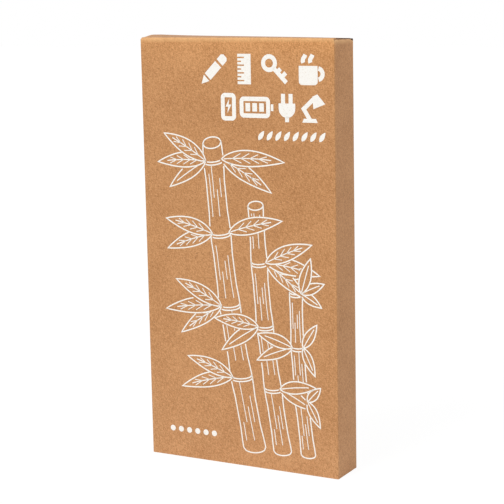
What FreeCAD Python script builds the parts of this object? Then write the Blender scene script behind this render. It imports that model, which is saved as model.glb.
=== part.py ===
import FreeCAD, Part
import math
import os
import re

import Sketcher

# A bamboo desk organizer with a wireless charger under its middle, packed in its kraft carton.
# Millimetres, +Z up, origin at the centre of the carton's base, the printed front facing -Y.
# The carton is a sleeve with a tuck-in lid at the top. It lifts off an insert tray of the same board,
# in which the organizer stands on its lower end with its open side to the front.
# The organizer's own pieces are drawn as it lies on a desk, with its width along x, its length along y
# and its thickness along z, and are then stood up in the carton together.

# Driving sizes are plain numbers. Sizes and places that follow from them are formulas, in order.
SIZES = {
    # Board, and the gaps between what is folded from it
    "board": "1.2",
    "fold_round": "1",
    "crease_gap": "0.3",
    "slide_gap": "0.3",
    "fit_gap": "0.4",
    "overrun": "2",
    # Bamboo organizer
    "organizer_length": "255",
    "organizer_width": "126.4",
    "organizer_thickness": "20.5",
    "organizer_corner": "9",
    "side_wall": "6",
    "end_wall": "7",
    "floor_thickness": "5",
    "lower_compartment": "66",
    "upper_compartment": "71",
    "compartment_corner": "7",
    "platform_recess": "3",
    "rim_round": "1.2",
    "floor_round": "2.5",
    "organizer_half": "=organizer_width / 2",
    "inner_half": "=organizer_half - side_wall",
    "lower_high": "=end_wall + lower_compartment",
    "upper_high": "=organizer_length - end_wall",
    "upper_low": "=upper_high - upper_compartment",
    "platform_top": "=organizer_thickness - platform_recess",
    "platform_centre": "=(lower_high + upper_low) / 2",
    # Feet
    "foot_radius": "5",
    "foot_sink": "0.8",
    "foot_standoff": "1.2",
    "foot_gap": "0.05",
    "foot_side_inset": "15",
    "foot_end_inset": "22",
    "foot_x": "=organizer_half - foot_side_inset",
    "foot_low": "=foot_end_inset",
    "foot_high": "=organizer_length - foot_end_inset",
    "foot_socket_radius": "=foot_radius + foot_gap",
    # Charging coil under the platform, its ferrite and the tray that carries both
    "coil_inner": "10.5",
    "coil_pitch": "1.55",
    "coil_turns": "10",
    "wire_radius": "0.55",
    "coil_pad_thickness": "0.5",
    "coil_pad_margin": "1.5",
    "ferrite_margin": "1",
    "ferrite_thickness": "0.8",
    "ferrite_corner": "4",
    "tray_margin": "3.5",
    "tray_thickness": "1",
    "leg_radius": "2",
    "lead_radius": "0.5",
    "lead_hole": "1.2",
    "coil_outer": "=coil_inner + coil_turns * coil_pitch",
    "coil_pad_radius": "=coil_outer + wire_radius + coil_pad_margin",
    "ferrite_half": "=coil_outer + wire_radius + ferrite_margin",
    "ferrite_low": "=platform_centre - ferrite_half",
    "ferrite_high": "=platform_centre + ferrite_half",
    "tray_half": "=ferrite_half + tray_margin",
    "tray_low": "=platform_centre - tray_half",
    "tray_high": "=platform_centre + tray_half",
    "leg_x": "=tray_half - leg_radius",
    "leg_low": "=tray_low + leg_radius",
    "leg_high": "=tray_high - leg_radius",
    # Charger pocket in the underside, and the cover that closes it
    "membrane": "2.3",
    "inlet_wall": "13.2",
    "tray_side_room": "6.95",
    "tray_end_room": "9.95",
    "pocket_corner": "6",
    "cover_ledge": "8",
    "cover_thickness": "2",
    "cover_recess": "0.2",
    "cover_gap": "0.3",
    "rebate_corner": "8",
    "pocket_left": "=tray_half + tray_side_room",
    "pocket_right": "=organizer_half - inlet_wall",
    "pocket_reach": "=tray_half + tray_end_room",
    "pocket_ceiling": "=platform_top - membrane",
    "coil_plane": "=pocket_ceiling - coil_pad_thickness - wire_radius * 2",
    "ferrite_plane": "=coil_plane - ferrite_thickness",
    "tray_plane": "=ferrite_plane - tray_thickness",
    "pocket_low": "=platform_centre - pocket_reach",
    "pocket_high": "=platform_centre + pocket_reach",
    "rebate_left": "=pocket_left + cover_ledge",
    "rebate_right": "=pocket_right + cover_ledge",
    "rebate_low": "=pocket_low - cover_ledge",
    "rebate_high": "=pocket_high + cover_ledge",
    "rebate_depth": "=cover_recess + cover_thickness",
    "cover_left": "=rebate_left - cover_gap",
    "cover_right": "=rebate_right - cover_gap",
    "cover_low": "=rebate_low + cover_gap",
    "cover_high": "=rebate_high - cover_gap",
    "cover_corner": "=rebate_corner - cover_gap",
    # Screws of the cover and of the circuit board
    "thread_gap": "0.05",
    "cover_screw_shank": "0.95",
    "cover_screw_head": "2.1",
    "cover_screw_head_height": "1.1",
    "cover_screw_bite": "6",
    "cover_pilot": "=cover_screw_shank + thread_gap",
    "cover_sink": "=cover_screw_head + thread_gap",
    "cover_screw_left": "=pocket_left + cover_ledge / 2",
    "cover_screw_right": "=pocket_right + cover_ledge / 2",
    "cover_screw_low": "=pocket_low - cover_ledge / 2",
    "cover_screw_high": "=pocket_high + cover_ledge / 2",
    "circuit_screw_shank": "0.9",
    "circuit_screw_head": "1.9",
    "circuit_screw_head_height": "1.2",
    "circuit_screw_bite": "3.4",
    "circuit_pilot": "=circuit_screw_shank + thread_gap",
    # Circuit board on the cover's bosses
    "boss_radius": "2.6",
    "boss_height": "2.4",
    "circuit_gap": "2",
    "circuit_thickness": "1.2",
    "circuit_corner": "3",
    "circuit_screw_inset": "4.5",
    "circuit_left": "=pocket_left - circuit_gap",
    "circuit_right": "=pocket_right - circuit_gap",
    "circuit_low": "=pocket_low + circuit_gap * 2",
    "circuit_high": "=pocket_high - circuit_gap * 2",
    "circuit_plane": "=rebate_depth + boss_height",
    "circuit_top": "=circuit_plane + circuit_thickness",
    "circuit_screw_left": "=circuit_left - circuit_screw_inset",
    "circuit_screw_right": "=circuit_right - circuit_screw_inset",
    "circuit_screw_low": "=circuit_low + circuit_screw_inset",
    "circuit_screw_high": "=circuit_high - circuit_screw_inset",
    # Parts soldered to the circuit board
    "chip_side": "6",
    "chip_height": "0.9",
    "chip_inset": "11",
    "chip_x": "=circuit_right - chip_inset",
    "chip_y": "=platform_centre - chip_side * 3",
    "inductor_side": "6.6",
    "inductor_height": "3",
    "inductor_x": "=circuit_right - chip_inset",
    "inductor_y": "=platform_centre + inductor_side * 3",
    "capacitor_length": "5",
    "capacitor_width": "2.8",
    "capacitor_height": "2.2",
    "capacitor_pitch": "4.2",
    "capacitor_low": "=circuit_high - circuit_screw_inset - capacitor_length / 2",
    # USB inlet at the board's right edge, and the slot that leads to it
    "usb_width": "8.9",
    "usb_height": "3.2",
    "usb_length": "7.4",
    "usb_wall": "0.3",
    "usb_corner": "1.3",
    "usb_overhang": "1",
    "usb_tongue_width": "6.7",
    "usb_tongue_height": "0.7",
    "usb_tongue_setback": "1",
    "usb_slot_width": "13",
    "usb_slot_height": "7.6",
    "usb_slot_corner": "3.6",
    "usb_mouth": "=circuit_right + usb_overhang",
    "usb_back": "=usb_mouth - usb_length",
    "usb_axis": "=circuit_top + usb_height / 2",
    "usb_low": "=platform_centre - usb_width / 2",
    "usb_high": "=platform_centre + usb_width / 2",
    "usb_top": "=circuit_top + usb_height",
    "usb_inner_low": "=usb_low + usb_wall",
    "usb_inner_high": "=usb_high - usb_wall",
    "usb_inner_bottom": "=circuit_top + usb_wall",
    "usb_inner_top": "=usb_top - usb_wall",
    "usb_inner_corner": "=usb_corner - usb_wall",
    "usb_slot_low": "=platform_centre - usb_slot_width / 2",
    "usb_slot_high": "=platform_centre + usb_slot_width / 2",
    "usb_slot_bottom": "=usb_axis - usb_slot_height / 2",
    "usb_slot_top": "=usb_axis + usb_slot_height / 2",
    # Status light beside the inlet
    "led_length": "1.6",
    "led_width": "1.6",
    "led_height": "1.4",
    "led_offset": "14",
    "pipe_radius": "1",
    "pipe_gap": "0.1",
    "led_y": "=platform_centre + led_offset",
    "pipe_axis": "=circuit_top + led_height / 2",
    "pipe_hole": "=pipe_radius + pipe_gap",
    # Insert tray around the organizer
    "rim_setback": "1.1",
    "notch_half": "17",
    "notch_depth": "19",
    "notch_corner": "8",
    "insert_half": "=organizer_half + fit_gap + board",
    "insert_inner_half": "=insert_half - board",
    "insert_depth": "=rim_setback + organizer_thickness + foot_standoff + board",
    "insert_height": "=board + organizer_length + fit_gap + board",
    "insert_ceiling": "=insert_height - board",
    # Sleeve around the insert tray, with room for the glue flap at each side
    "glue_flap_width": "14",
    "glue_flap_inset": "6",
    "tongue_depth": "10.4",
    "tongue_clearance": "0.6",
    "tongue_gap": "0.3",
    "sleeve_inner_half": "=insert_half + slide_gap + board",
    "carton_half": "=sleeve_inner_half + board",
    "carton_depth": "=insert_depth + slide_gap * 2 + board * 2",
    "carton_height": "=insert_height + tongue_clearance + tongue_depth + board",
    "front_face": "=0 - carton_depth / 2",
    "front_inner": "=front_face + board",
    "back_face": "=carton_depth / 2",
    "back_inner": "=back_face - board",
    "insert_front": "=front_inner + slide_gap",
    "rim_plane": "=insert_front + rim_setback",
    "underside_plane": "=rim_plane + organizer_thickness",
    "insert_back_inner": "=underside_plane + foot_standoff",
    "insert_back_outer": "=insert_back_inner + board",
    "notch_bottom": "=insert_front + notch_depth",
    "notch_mouth": "=insert_front - notch_corner - overrun",
    "notch_low": "=board + platform_centre - notch_half",
    "notch_high": "=board + platform_centre + notch_half",
    # Lid, its tongue and the dust flaps under it
    "lid_inset": "0.8",
    "tongue_inset": "7",
    "tongue_corner": "5",
    "dust_length": "22",
    "dust_shoulder": "5",
    "dust_front_gap": "0.4",
    "dust_back_gap": "1.2",
    "dust_front_taper": "5.9",
    "dust_back_taper": "3.6",
    "dust_corner": "2",
    "lid_plane": "=carton_height - board",
    "lid_half": "=carton_half - lid_inset",
    "lid_reach": "=carton_depth - board - tongue_gap",
    "lid_back": "=front_face + lid_reach",
    "tongue_half": "=lid_half - tongue_inset",
    "tongue_inner": "=lid_reach - board",
    "front_height": "=lid_plane - crease_gap",
    "dust_plane": "=front_height - board",
    "side_height": "=dust_plane - crease_gap",
    "dust_root_front": "=front_inner + dust_front_gap",
    "dust_root_back": "=front_face + tongue_inner - dust_back_gap",
    "dust_tip_front": "=dust_root_front + dust_front_taper",
    "dust_tip_back": "=dust_root_back - dust_back_taper",
    "dust_shoulder_x": "=carton_half - dust_shoulder",
    "dust_tip_x": "=carton_half - dust_length",
}

TINY = 1e-6
PARTS_FOLDER = "parts"

doc = FreeCAD.newDocument("boxed_desk_organizer")
sheet = doc.addObject("Spreadsheet::Sheet", "Sizes")
nodes = []


# The sheet and what reads it

def fill_sheet():
    """Writes every size into the sheet, one row each, under its own name."""
    for row, (alias, text) in enumerate(SIZES.items(), 1):
        sheet.set(f"A{row}", alias)
        sheet.set(f"B{row}", text)
        sheet.setAlias(f"B{row}", alias)
    doc.recompute()


def size(alias):
    """The value of a named size, or of its opposite where the name has a minus sign."""
    if alias == "0":
        return 0.0
    if alias.startswith("-"):
        return -size(alias[1:])
    return float(sheet.get(alias))


def bound(text):
    """An expression in which each named size is read from the sheet."""
    return re.sub(r"[a-z_]+", lambda word: "Sizes." + word[0] if word[0] in SIZES else word[0], text)


def bind(item, target, text):
    """Ties one property of an object to an expression of the named sizes."""
    item.setExpression(target, bound(text))


# Sketches

def sketch_on(body, name, role, offset="0"):
    """A sketch on one of a body's own origin planes, moved along the plane's normal."""
    plane = next(feature for feature in body.Origin.OriginFeatures if feature.Role == role)
    sketch = body.newObject("Sketcher::SketchObject", name)
    sketch.AttachmentSupport = (plane, [""])
    sketch.MapMode = "FlatFace"
    bind(sketch, "AttachmentOffset.Base.z", offset)
    return sketch


def tie(sketch, kind, places, alias):
    """Adds one dimension to a sketch and ties it to a named size."""
    index = sketch.addConstraint(Sketcher.Constraint(kind, *places, size(alias)))
    name = f"{kind}_{index}"
    sketch.renameConstraint(index, name)
    bind(sketch, "Constraints." + name, alias)


def polygon(sketch, corners):
    """A closed outline of straight lines through corners at named places."""
    points = [FreeCAD.Vector(size(x), size(y)) for x, y in corners]
    following = points[1:] + points[:1]
    for start, end in zip(points, following):
        sketch.addGeometry(Part.LineSegment(start, end))
    for line in range(len(points)):
        sketch.addConstraint(Sketcher.Constraint("Coincident", line, 2, (line + 1) % len(points), 1))
    for line, (x, y) in enumerate(corners):
        tie(sketch, "DistanceX", (-1, 1, line, 1), x)
        tie(sketch, "DistanceY", (-1, 1, line, 1), y)


def rounded_rectangle(sketch, left, right, low, high, corner):
    """A rectangle with round corners between four named places."""
    radius = size(corner)
    x_low, x_high, y_low, y_high = size(left), size(right), size(low), size(high)
    quarter = math.pi / 2
    centres = [
        (x_high - radius, y_low + radius),
        (x_high - radius, y_high - radius),
        (x_low + radius, y_high - radius),
        (x_low + radius, y_low + radius),
    ]
    ends = []
    for turn, (x, y) in enumerate(centres):
        circle = Part.Circle(FreeCAD.Vector(x, y), FreeCAD.Vector(0, 0, 1), radius)
        start = (turn - 1) * quarter
        arc = Part.ArcOfCircle(circle, start, start + quarter)
        sketch.addGeometry(arc)
        ends.append((arc.StartPoint, arc.EndPoint))
    for turn in range(4):
        sketch.addGeometry(Part.LineSegment(ends[turn][1], ends[(turn + 1) % 4][0]))
    for turn in range(4):
        sketch.addConstraint(Sketcher.Constraint("Tangent", turn, 2, 4 + turn, 1))
        sketch.addConstraint(Sketcher.Constraint("Tangent", 4 + turn, 2, (turn + 1) % 4, 1))
        sketch.addConstraint(Sketcher.Constraint("Vertical" if turn % 2 == 0 else "Horizontal", 4 + turn))
    for turn in range(1, 4):
        sketch.addConstraint(Sketcher.Constraint("Equal", 0, turn))
    tie(sketch, "Radius", (0,), corner)
    tie(sketch, "DistanceX", (-1, 1, 4, 1), right)
    tie(sketch, "DistanceY", (-1, 1, 5, 1), high)
    tie(sketch, "DistanceX", (-1, 1, 6, 1), left)
    tie(sketch, "DistanceY", (-1, 1, 7, 1), low)


def circles(sketch, centres, radius):
    """Equal circles at named places."""
    for index, (x, y) in enumerate(centres):
        centre = FreeCAD.Vector(size(x), size(y))
        sketch.addGeometry(Part.Circle(centre, FreeCAD.Vector(0, 0, 1), size(radius)))
        tie(sketch, "DistanceX", (-1, 1, index, 3), x)
        tie(sketch, "DistanceY", (-1, 1, index, 3), y)
        tie(sketch, "Radius", (index,), radius)


# Features of a body

def new_body(label):
    """An empty body for one sub-part."""
    return doc.addObject("PartDesign::Body", label)


def pad(body, sketch, length, both_ways=False):
    """Raises a sketch along its normal, or half the length to each side."""
    feature = body.newObject("PartDesign::Pad", sketch.Name + "_pad")
    feature.Profile = sketch
    feature.SideType = "Symmetric" if both_ways else "One side"
    bind(feature, "Length", length)
    doc.recompute()
    return feature


def pocket(body, sketch, depth, along_normal=False):
    """Cuts a sketch into the body, against its normal unless it says otherwise."""
    before = body.Shape.Volume
    feature = body.newObject("PartDesign::Pocket", sketch.Name + "_pocket")
    feature.Profile = sketch
    feature.Reversed = along_normal
    bind(feature, "Length", depth)
    doc.recompute()
    if body.Shape.Volume >= before - TINY:
        raise RuntimeError(f"{sketch.Name} cuts nothing")
    return feature


def fillet(body, name, radius, wanted):
    """Rounds the edges of the body's last feature that pass a test."""
    base = body.Tip
    picked = [f"Edge{n}" for n, edge in enumerate(base.Shape.Edges, 1) if wanted(edge)]
    if not picked:
        raise RuntimeError(f"{name} finds no edge")
    feature = body.newObject("PartDesign::Fillet", name)
    feature.Base = (base, picked)
    bind(feature, "Radius", radius)
    doc.recompute()
    return feature


def lies_at(edge, axis, place):
    """Whether an edge lies wholly at one named place along an axis."""
    box = edge.BoundBox
    low, high = getattr(box, axis + "Min"), getattr(box, axis + "Max")
    return max(abs(low - size(place)), abs(high - size(place))) < TINY


def runs_along(edge, axis):
    """Whether an edge is straight and parallel to an axis."""
    box = edge.BoundBox
    across = [name for name in "XYZ" if name != axis]
    return all(getattr(box, name + "Length") < TINY for name in across)


# Plain pieces

def finish(item, label):
    """Gives a sub-part its label and lists it as a node of its own."""
    item.Label = label
    nodes.append(item)
    return item


def seat(item, x="0", y="0", z="0", turn=FreeCAD.Rotation()):
    """Stands a piece of the organizer up in the carton, at a place given as on the desk."""
    upright = FreeCAD.Rotation(FreeCAD.Vector(1, 0, 0), 90)
    item.Placement = FreeCAD.Placement(FreeCAD.Vector(), upright * turn)
    bind(item, "Placement.Base.x", x)
    bind(item, "Placement.Base.y", f"underside_plane - ({z})")
    bind(item, "Placement.Base.z", f"board + ({y})")
    return item


def box(name, length, width, height):
    """A block with its three sides tied to the named sizes."""
    item = doc.addObject("Part::Box", name)
    bind(item, "Length", length)
    bind(item, "Width", width)
    bind(item, "Height", height)
    return item


def cylinder(name, radius, height):
    """A cylinder with its radius and height tied to the named sizes."""
    item = doc.addObject("Part::Cylinder", name)
    bind(item, "Radius", radius)
    bind(item, "Height", height)
    return item


def group(name, items):
    """Separate solids kept together as one node."""
    item = doc.addObject("Part::Compound", name)
    item.Links = items
    return item


def four_places(left, right, low, high):
    """The corners of a rectangle of named places."""
    return [(x, y) for x in (left, right) for y in (low, high)]


# The bamboo organizer

COVER_SCREWS = four_places("-cover_screw_left", "cover_screw_right", "cover_screw_low", "cover_screw_high")
CIRCUIT_SCREWS = four_places(
    "-circuit_screw_left", "circuit_screw_right", "circuit_screw_low", "circuit_screw_high"
)
FEET = four_places("-foot_x", "foot_x", "foot_low", "foot_high")
COIL_LEADS = [("coil_inner", "platform_centre"), ("coil_outer", "platform_centre")]


def make_bamboo_body():
    """One plank, milled from the top into two compartments with a low platform between them."""
    body = new_body("bamboo_body")
    outline = sketch_on(body, "plank_outline", "XY_Plane")
    rounded_rectangle(
        outline, "-organizer_half", "organizer_half", "0", "organizer_length", "organizer_corner"
    )
    pad(body, outline, "organizer_thickness")

    recess = sketch_on(body, "recess_outline", "XY_Plane", "organizer_thickness")
    rounded_rectangle(recess, "-inner_half", "inner_half", "end_wall", "upper_high", "compartment_corner")
    pocket(body, recess, "platform_recess")
    for name, low, high in (("lower", "end_wall", "lower_high"), ("upper", "upper_low", "upper_high")):
        mouth = sketch_on(body, name + "_outline", "XY_Plane", "organizer_thickness")
        rounded_rectangle(mouth, "-inner_half", "inner_half", low, high, "compartment_corner")
        pocket(body, mouth, "organizer_thickness - floor_thickness")
    fillet(body, "floor_rounds", "floor_round", lambda edge: lies_at(edge, "Z", "floor_thickness"))
    fillet(
        body,
        "rim_rounds",
        "rim_round",
        lambda edge: lies_at(edge, "Z", "organizer_thickness") or lies_at(edge, "Z", "0"),
    )
    cut_charger_seat(body)
    cut_side_holes(body)
    return finish(seat(body), "bamboo_body")


def cut_charger_seat(body):
    """The pocket under the platform, the cover's rebate round it, and the holes of screws and feet."""
    rebate = sketch_on(body, "rebate_outline", "XY_Plane")
    rounded_rectangle(rebate, "-rebate_left", "rebate_right", "rebate_low", "rebate_high", "rebate_corner")
    pocket(body, rebate, "rebate_depth", along_normal=True)
    hollow = sketch_on(body, "pocket_outline", "XY_Plane")
    rounded_rectangle(hollow, "-pocket_left", "pocket_right", "pocket_low", "pocket_high", "pocket_corner")
    pocket(body, hollow, "pocket_ceiling", along_normal=True)
    pilots = sketch_on(body, "pilot_holes", "XY_Plane")
    circles(pilots, COVER_SCREWS, "cover_pilot")
    pocket(body, pilots, "rebate_depth + cover_screw_bite", along_normal=True)
    sockets = sketch_on(body, "foot_sockets", "XY_Plane")
    circles(sockets, FEET, "foot_socket_radius")
    pocket(body, sockets, "foot_sink", along_normal=True)


def cut_side_holes(body):
    """The slot for the plug and the hole of the status light, in the right side."""
    reach = "organizer_half - pocket_right + overrun"
    slot = sketch_on(body, "usb_slot", "YZ_Plane", "organizer_half")
    rounded_rectangle(
        slot, "usb_slot_low", "usb_slot_high", "usb_slot_bottom", "usb_slot_top", "usb_slot_corner"
    )
    pocket(body, slot, reach)
    light = sketch_on(body, "light_hole", "YZ_Plane", "organizer_half")
    circles(light, [("led_y", "pipe_axis")], "pipe_hole")
    pocket(body, light, reach)


def make_feet():
    """Rubber pads sunk into the underside, which they hold off the desk."""
    feet = []
    for index, (x, y) in enumerate(FEET):
        foot = cylinder(f"foot_{index}", "foot_radius", "foot_sink + foot_standoff")
        feet.append(seat(foot, x, y, "0 - foot_standoff"))
    return finish(group("feet", feet), "rubber_feet")


# The charger

def make_cover():
    """The plate that closes the pocket from below, with bosses for the circuit board."""
    body = new_body("charger_cover")
    plate = sketch_on(body, "cover_outline", "XY_Plane", "cover_recess")
    rounded_rectangle(plate, "-cover_left", "cover_right", "cover_low", "cover_high", "cover_corner")
    pad(body, plate, "cover_thickness")
    bosses = sketch_on(body, "cover_bosses", "XY_Plane", "rebate_depth")
    circles(bosses, CIRCUIT_SCREWS, "boss_radius")
    pad(body, bosses, "boss_height")
    holes = sketch_on(body, "cover_holes", "XY_Plane")
    circles(holes, COVER_SCREWS, "cover_pilot")
    pocket(body, holes, "rebate_depth + overrun", along_normal=True)
    sinks = sketch_on(body, "cover_sinks", "XY_Plane")
    circles(sinks, COVER_SCREWS, "cover_sink")
    pocket(body, sinks, "cover_recess + cover_screw_head_height", along_normal=True)
    pilots = sketch_on(body, "boss_pilots", "XY_Plane", "circuit_plane")
    circles(pilots, CIRCUIT_SCREWS, "circuit_pilot")
    pocket(body, pilots, "circuit_screw_bite + thread_gap")
    return finish(seat(body), "charger_cover")


def make_screws(label, places, kind, head_plane, shank_plane, shank_length):
    """A set of pan-head screws, one solid each, with the head and shank at planes of their own."""
    screws = []
    for index, (x, y) in enumerate(places):
        head = cylinder(f"{kind}_head_{index}", f"{kind}_head", f"{kind}_head_height")
        shank = cylinder(f"{kind}_shank_{index}", f"{kind}_shank", shank_length)
        screw = doc.addObject("Part::Fuse", f"{kind}_{index}")
        screw.Base = seat(head, x, y, head_plane)
        screw.Tool = seat(shank, x, y, shank_plane)
        screws.append(screw)
    return finish(group(label + "_set", screws), label)


def make_circuit_board():
    """The charger's printed circuit, screwed to the bosses."""
    body = new_body("circuit_board")
    outline = sketch_on(body, "circuit_outline", "XY_Plane", "circuit_plane")
    rounded_rectangle(
        outline, "-circuit_left", "circuit_right", "circuit_low", "circuit_high", "circuit_corner"
    )
    pad(body, outline, "circuit_thickness")
    holes = sketch_on(body, "circuit_holes", "XY_Plane", "circuit_top")
    circles(holes, CIRCUIT_SCREWS, "circuit_pilot")
    pocket(body, holes, "circuit_thickness + overrun")
    return finish(seat(body), "circuit_board")


def make_soldered_parts():
    """What stands on the circuit board: the controller, the inductor and a row of capacitors."""
    chip = box("chip", "chip_side", "chip_side", "chip_height")
    finish(seat(chip, "chip_x - chip_side / 2", "chip_y - chip_side / 2", "circuit_top"), "controller_chip")
    choke = box("choke", "inductor_side", "inductor_side", "inductor_height")
    seat(choke, "inductor_x - inductor_side / 2", "inductor_y - inductor_side / 2", "circuit_top")
    finish(choke, "power_inductor")
    row = []
    for index in range(-2, 3):
        part = box(f"capacitor_{index + 2}", "capacitor_width", "capacitor_length", "capacitor_height")
        x = f"{index} * capacitor_pitch - capacitor_width / 2"
        row.append(seat(part, x, "capacitor_low", "circuit_top"))
    finish(group("capacitor_row", row), "resonant_capacitors")


def make_usb_inlet():
    """The inlet's metal shell, open to the right, and the contact tongue inside it."""
    body = new_body("usb_shell")
    outside = sketch_on(body, "usb_outside", "YZ_Plane", "usb_back")
    rounded_rectangle(outside, "usb_low", "usb_high", "circuit_top", "usb_top", "usb_corner")
    pad(body, outside, "usb_length")
    inside = sketch_on(body, "usb_inside", "YZ_Plane", "usb_mouth")
    rounded_rectangle(
        inside, "usb_inner_low", "usb_inner_high", "usb_inner_bottom", "usb_inner_top", "usb_inner_corner"
    )
    pocket(body, inside, "usb_length - usb_wall")
    finish(seat(body), "usb_shell")
    reach = "usb_length - usb_wall - usb_tongue_setback"
    tongue = box("tongue", reach, "usb_tongue_width", "usb_tongue_height")
    seat(
        tongue,
        "usb_back + usb_wall",
        "platform_centre - usb_tongue_width / 2",
        "usb_axis - usb_tongue_height / 2",
    )
    finish(tongue, "usb_contact_tongue")


def make_status_light():
    """A small lamp at the board's edge, and the clear rod that brings its light to the side."""
    lamp = box("lamp", "led_length", "led_width", "led_height")
    finish(seat(lamp, "circuit_right - led_length", "led_y - led_width / 2", "circuit_top"), "status_led")
    rod = cylinder("rod", "pipe_radius", "organizer_half - circuit_right - pipe_gap * 2")
    along_x = FreeCAD.Rotation(FreeCAD.Vector(0, 1, 0), 90)
    finish(seat(rod, "circuit_right + pipe_gap", "led_y", "pipe_axis", along_x), "light_pipe")


def make_coil_stack():
    """The tray on the circuit board, the ferrite on the tray, the coil on the ferrite and the pad on top."""
    body = new_body("coil_tray")
    plate = sketch_on(body, "tray_outline", "XY_Plane", "tray_plane")
    rounded_rectangle(plate, "-tray_half", "tray_half", "tray_low", "tray_high", "ferrite_corner")
    pad(body, plate, "tray_thickness")
    legs = sketch_on(body, "tray_legs", "XY_Plane", "circuit_top")
    circles(legs, four_places("-leg_x", "leg_x", "leg_low", "leg_high"), "leg_radius")
    pad(body, legs, "tray_plane - circuit_top")
    holes = sketch_on(body, "tray_lead_holes", "XY_Plane", "ferrite_plane")
    circles(holes, COIL_LEADS, "lead_hole")
    pocket(body, holes, "tray_thickness + overrun")
    finish(seat(body), "coil_tray")

    sheet_body = new_body("ferrite_sheet")
    outline = sketch_on(sheet_body, "ferrite_outline", "XY_Plane", "ferrite_plane")
    rounded_rectangle(
        outline, "-ferrite_half", "ferrite_half", "ferrite_low", "ferrite_high", "ferrite_corner"
    )
    pad(sheet_body, outline, "ferrite_thickness")
    slots = sketch_on(sheet_body, "ferrite_lead_holes", "XY_Plane", "coil_plane")
    circles(slots, COIL_LEADS, "lead_hole")
    pocket(sheet_body, slots, "ferrite_thickness + overrun")
    finish(seat(sheet_body), "ferrite_sheet")

    make_coil()
    leads = []
    for index, (x, y) in enumerate(COIL_LEADS):
        lead = cylinder(f"lead_{index}", "lead_radius", "coil_plane - circuit_top")
        leads.append(seat(lead, x, y, "circuit_top"))
    finish(group("lead_pair", leads), "coil_leads")
    disc = cylinder("disc", "coil_pad_radius", "coil_pad_thickness")
    finish(seat(disc, "0", "platform_centre", "coil_plane + wire_radius * 2"), "coil_pad")


def make_coil():
    """A flat spiral of one unbroken wire, in half turns whose radius grows by half a pitch each."""
    inner, pitch, wire = size("coil_inner"), size("coil_pitch"), size("wire_radius")
    height = size("coil_plane") + wire
    up = FreeCAD.Vector(0, 0, 1)
    edges = []
    for half_turn in range(2 * round(size("coil_turns"))):
        centre = FreeCAD.Vector(pitch / 2 * (half_turn % 2), size("platform_centre"), height)
        circle = Part.Circle(centre, up, inner + half_turn * pitch / 2)
        start = math.pi * (half_turn % 2)
        edges.append(Part.ArcOfCircle(circle, start, start + math.pi).toShape())
    path = Part.Wire(edges)
    section = Part.Wire(Part.Circle(edges[0].Vertexes[0].Point, FreeCAD.Vector(0, 1, 0), wire).toShape())
    coil = doc.addObject("Part::Feature", "coil")
    coil.Shape = path.makePipeShell([section], True)
    expected = math.pi * wire**2 * path.Length
    least_gap = least_distance(path) - 2 * wire
    print(f"coil: volume {coil.Shape.Volume:.1f} of {expected:.1f} mm3, least gap {least_gap:.2f} mm")
    return finish(seat(coil), "charging_coil")


def least_distance(path):
    """The least distance between the turns of a spiral, measured on points of its half turns."""
    turns = [edge.discretize(Number=48) for edge in path.Edges]
    nearest = math.inf
    for inner, outer in zip(turns, turns[2:]):
        nearest = min(nearest, min(a.distanceToPoint(b) for a in inner for b in outer))
    return nearest


# The carton's insert tray

def board_panel(label, role, offset, corners, thickness="board"):
    """A flat panel of board, raised from its outline on one of the origin planes."""
    body = new_body(label)
    outline = sketch_on(body, label + "_outline", role, offset)
    polygon(outline, corners)
    pad(body, outline, thickness)
    return body


def rectangle(left, right, low, high):
    """The four corners of a plain panel, in order."""
    return [(left, low), (right, low), (right, high), (left, high)]


def make_insert():
    """An open tray of board: back, two sides with finger notches, a base that it stands on and a top end."""
    flat = rectangle("-insert_half", "insert_half", "0", "insert_height")
    finish(board_panel("insert_back", "XZ_Plane", "0 - insert_back_outer", flat), "insert_back")
    end = rectangle("-insert_inner_half", "insert_inner_half", "insert_front", "insert_back_inner")
    finish(board_panel("insert_base", "XY_Plane", "0", end), "insert_base")
    finish(board_panel("insert_top_end", "XY_Plane", "insert_ceiling", end), "insert_top_end")
    wall = rectangle("insert_front", "insert_back_inner", "0", "insert_height")
    places = {"insert_side_left": "0 - insert_half", "insert_side_right": "insert_inner_half"}
    for label, offset in places.items():
        side = board_panel(label, "YZ_Plane", offset, wall)
        notch = sketch_on(side, label + "_notch", "YZ_Plane", f"{offset} + board + overrun")
        rounded_rectangle(notch, "notch_mouth", "notch_bottom", "notch_low", "notch_high", "notch_corner")
        pocket(side, notch, "board + overrun * 2")
        finish(side, label)


# The carton's sleeve

def make_sleeve():
    """Four panels round the insert tray and the flap that glues the left corner."""
    front = board_panel(
        "front_panel", "XY_Plane", "0", rectangle("-carton_half", "carton_half", "front_face", "front_inner"),
        "front_height",
    )
    round_folds(front, "front_folds", "front_face")
    finish(front, "front_panel")
    back = board_panel(
        "back_panel", "XY_Plane", "0", rectangle("-carton_half", "carton_half", "back_inner", "back_face"),
        "carton_height",
    )
    round_folds(back, "back_folds", "back_face")
    finish(back, "back_panel")
    for label, left, right in (
        ("left_panel", "-carton_half", "-sleeve_inner_half"),
        ("right_panel", "sleeve_inner_half", "carton_half"),
    ):
        side = rectangle(left, right, "front_inner", "back_inner")
        finish(board_panel(label, "XY_Plane", "0", side, "side_height"), label)
    flap = box("flap", "board", "glue_flap_width", "side_height - glue_flap_inset * 2")
    bind(flap, "Placement.Base.x", "0 - sleeve_inner_half")
    bind(flap, "Placement.Base.y", "back_inner - glue_flap_width")
    bind(flap, "Placement.Base.z", "glue_flap_inset")
    finish(flap, "glue_flap")


def round_folds(body, name, face):
    """Rounds the two upright folds on the outside of a panel."""
    fillet(body, name, "fold_round", lambda edge: runs_along(edge, "Z") and lies_at(edge, "Y", face))


# The carton's lid

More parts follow.
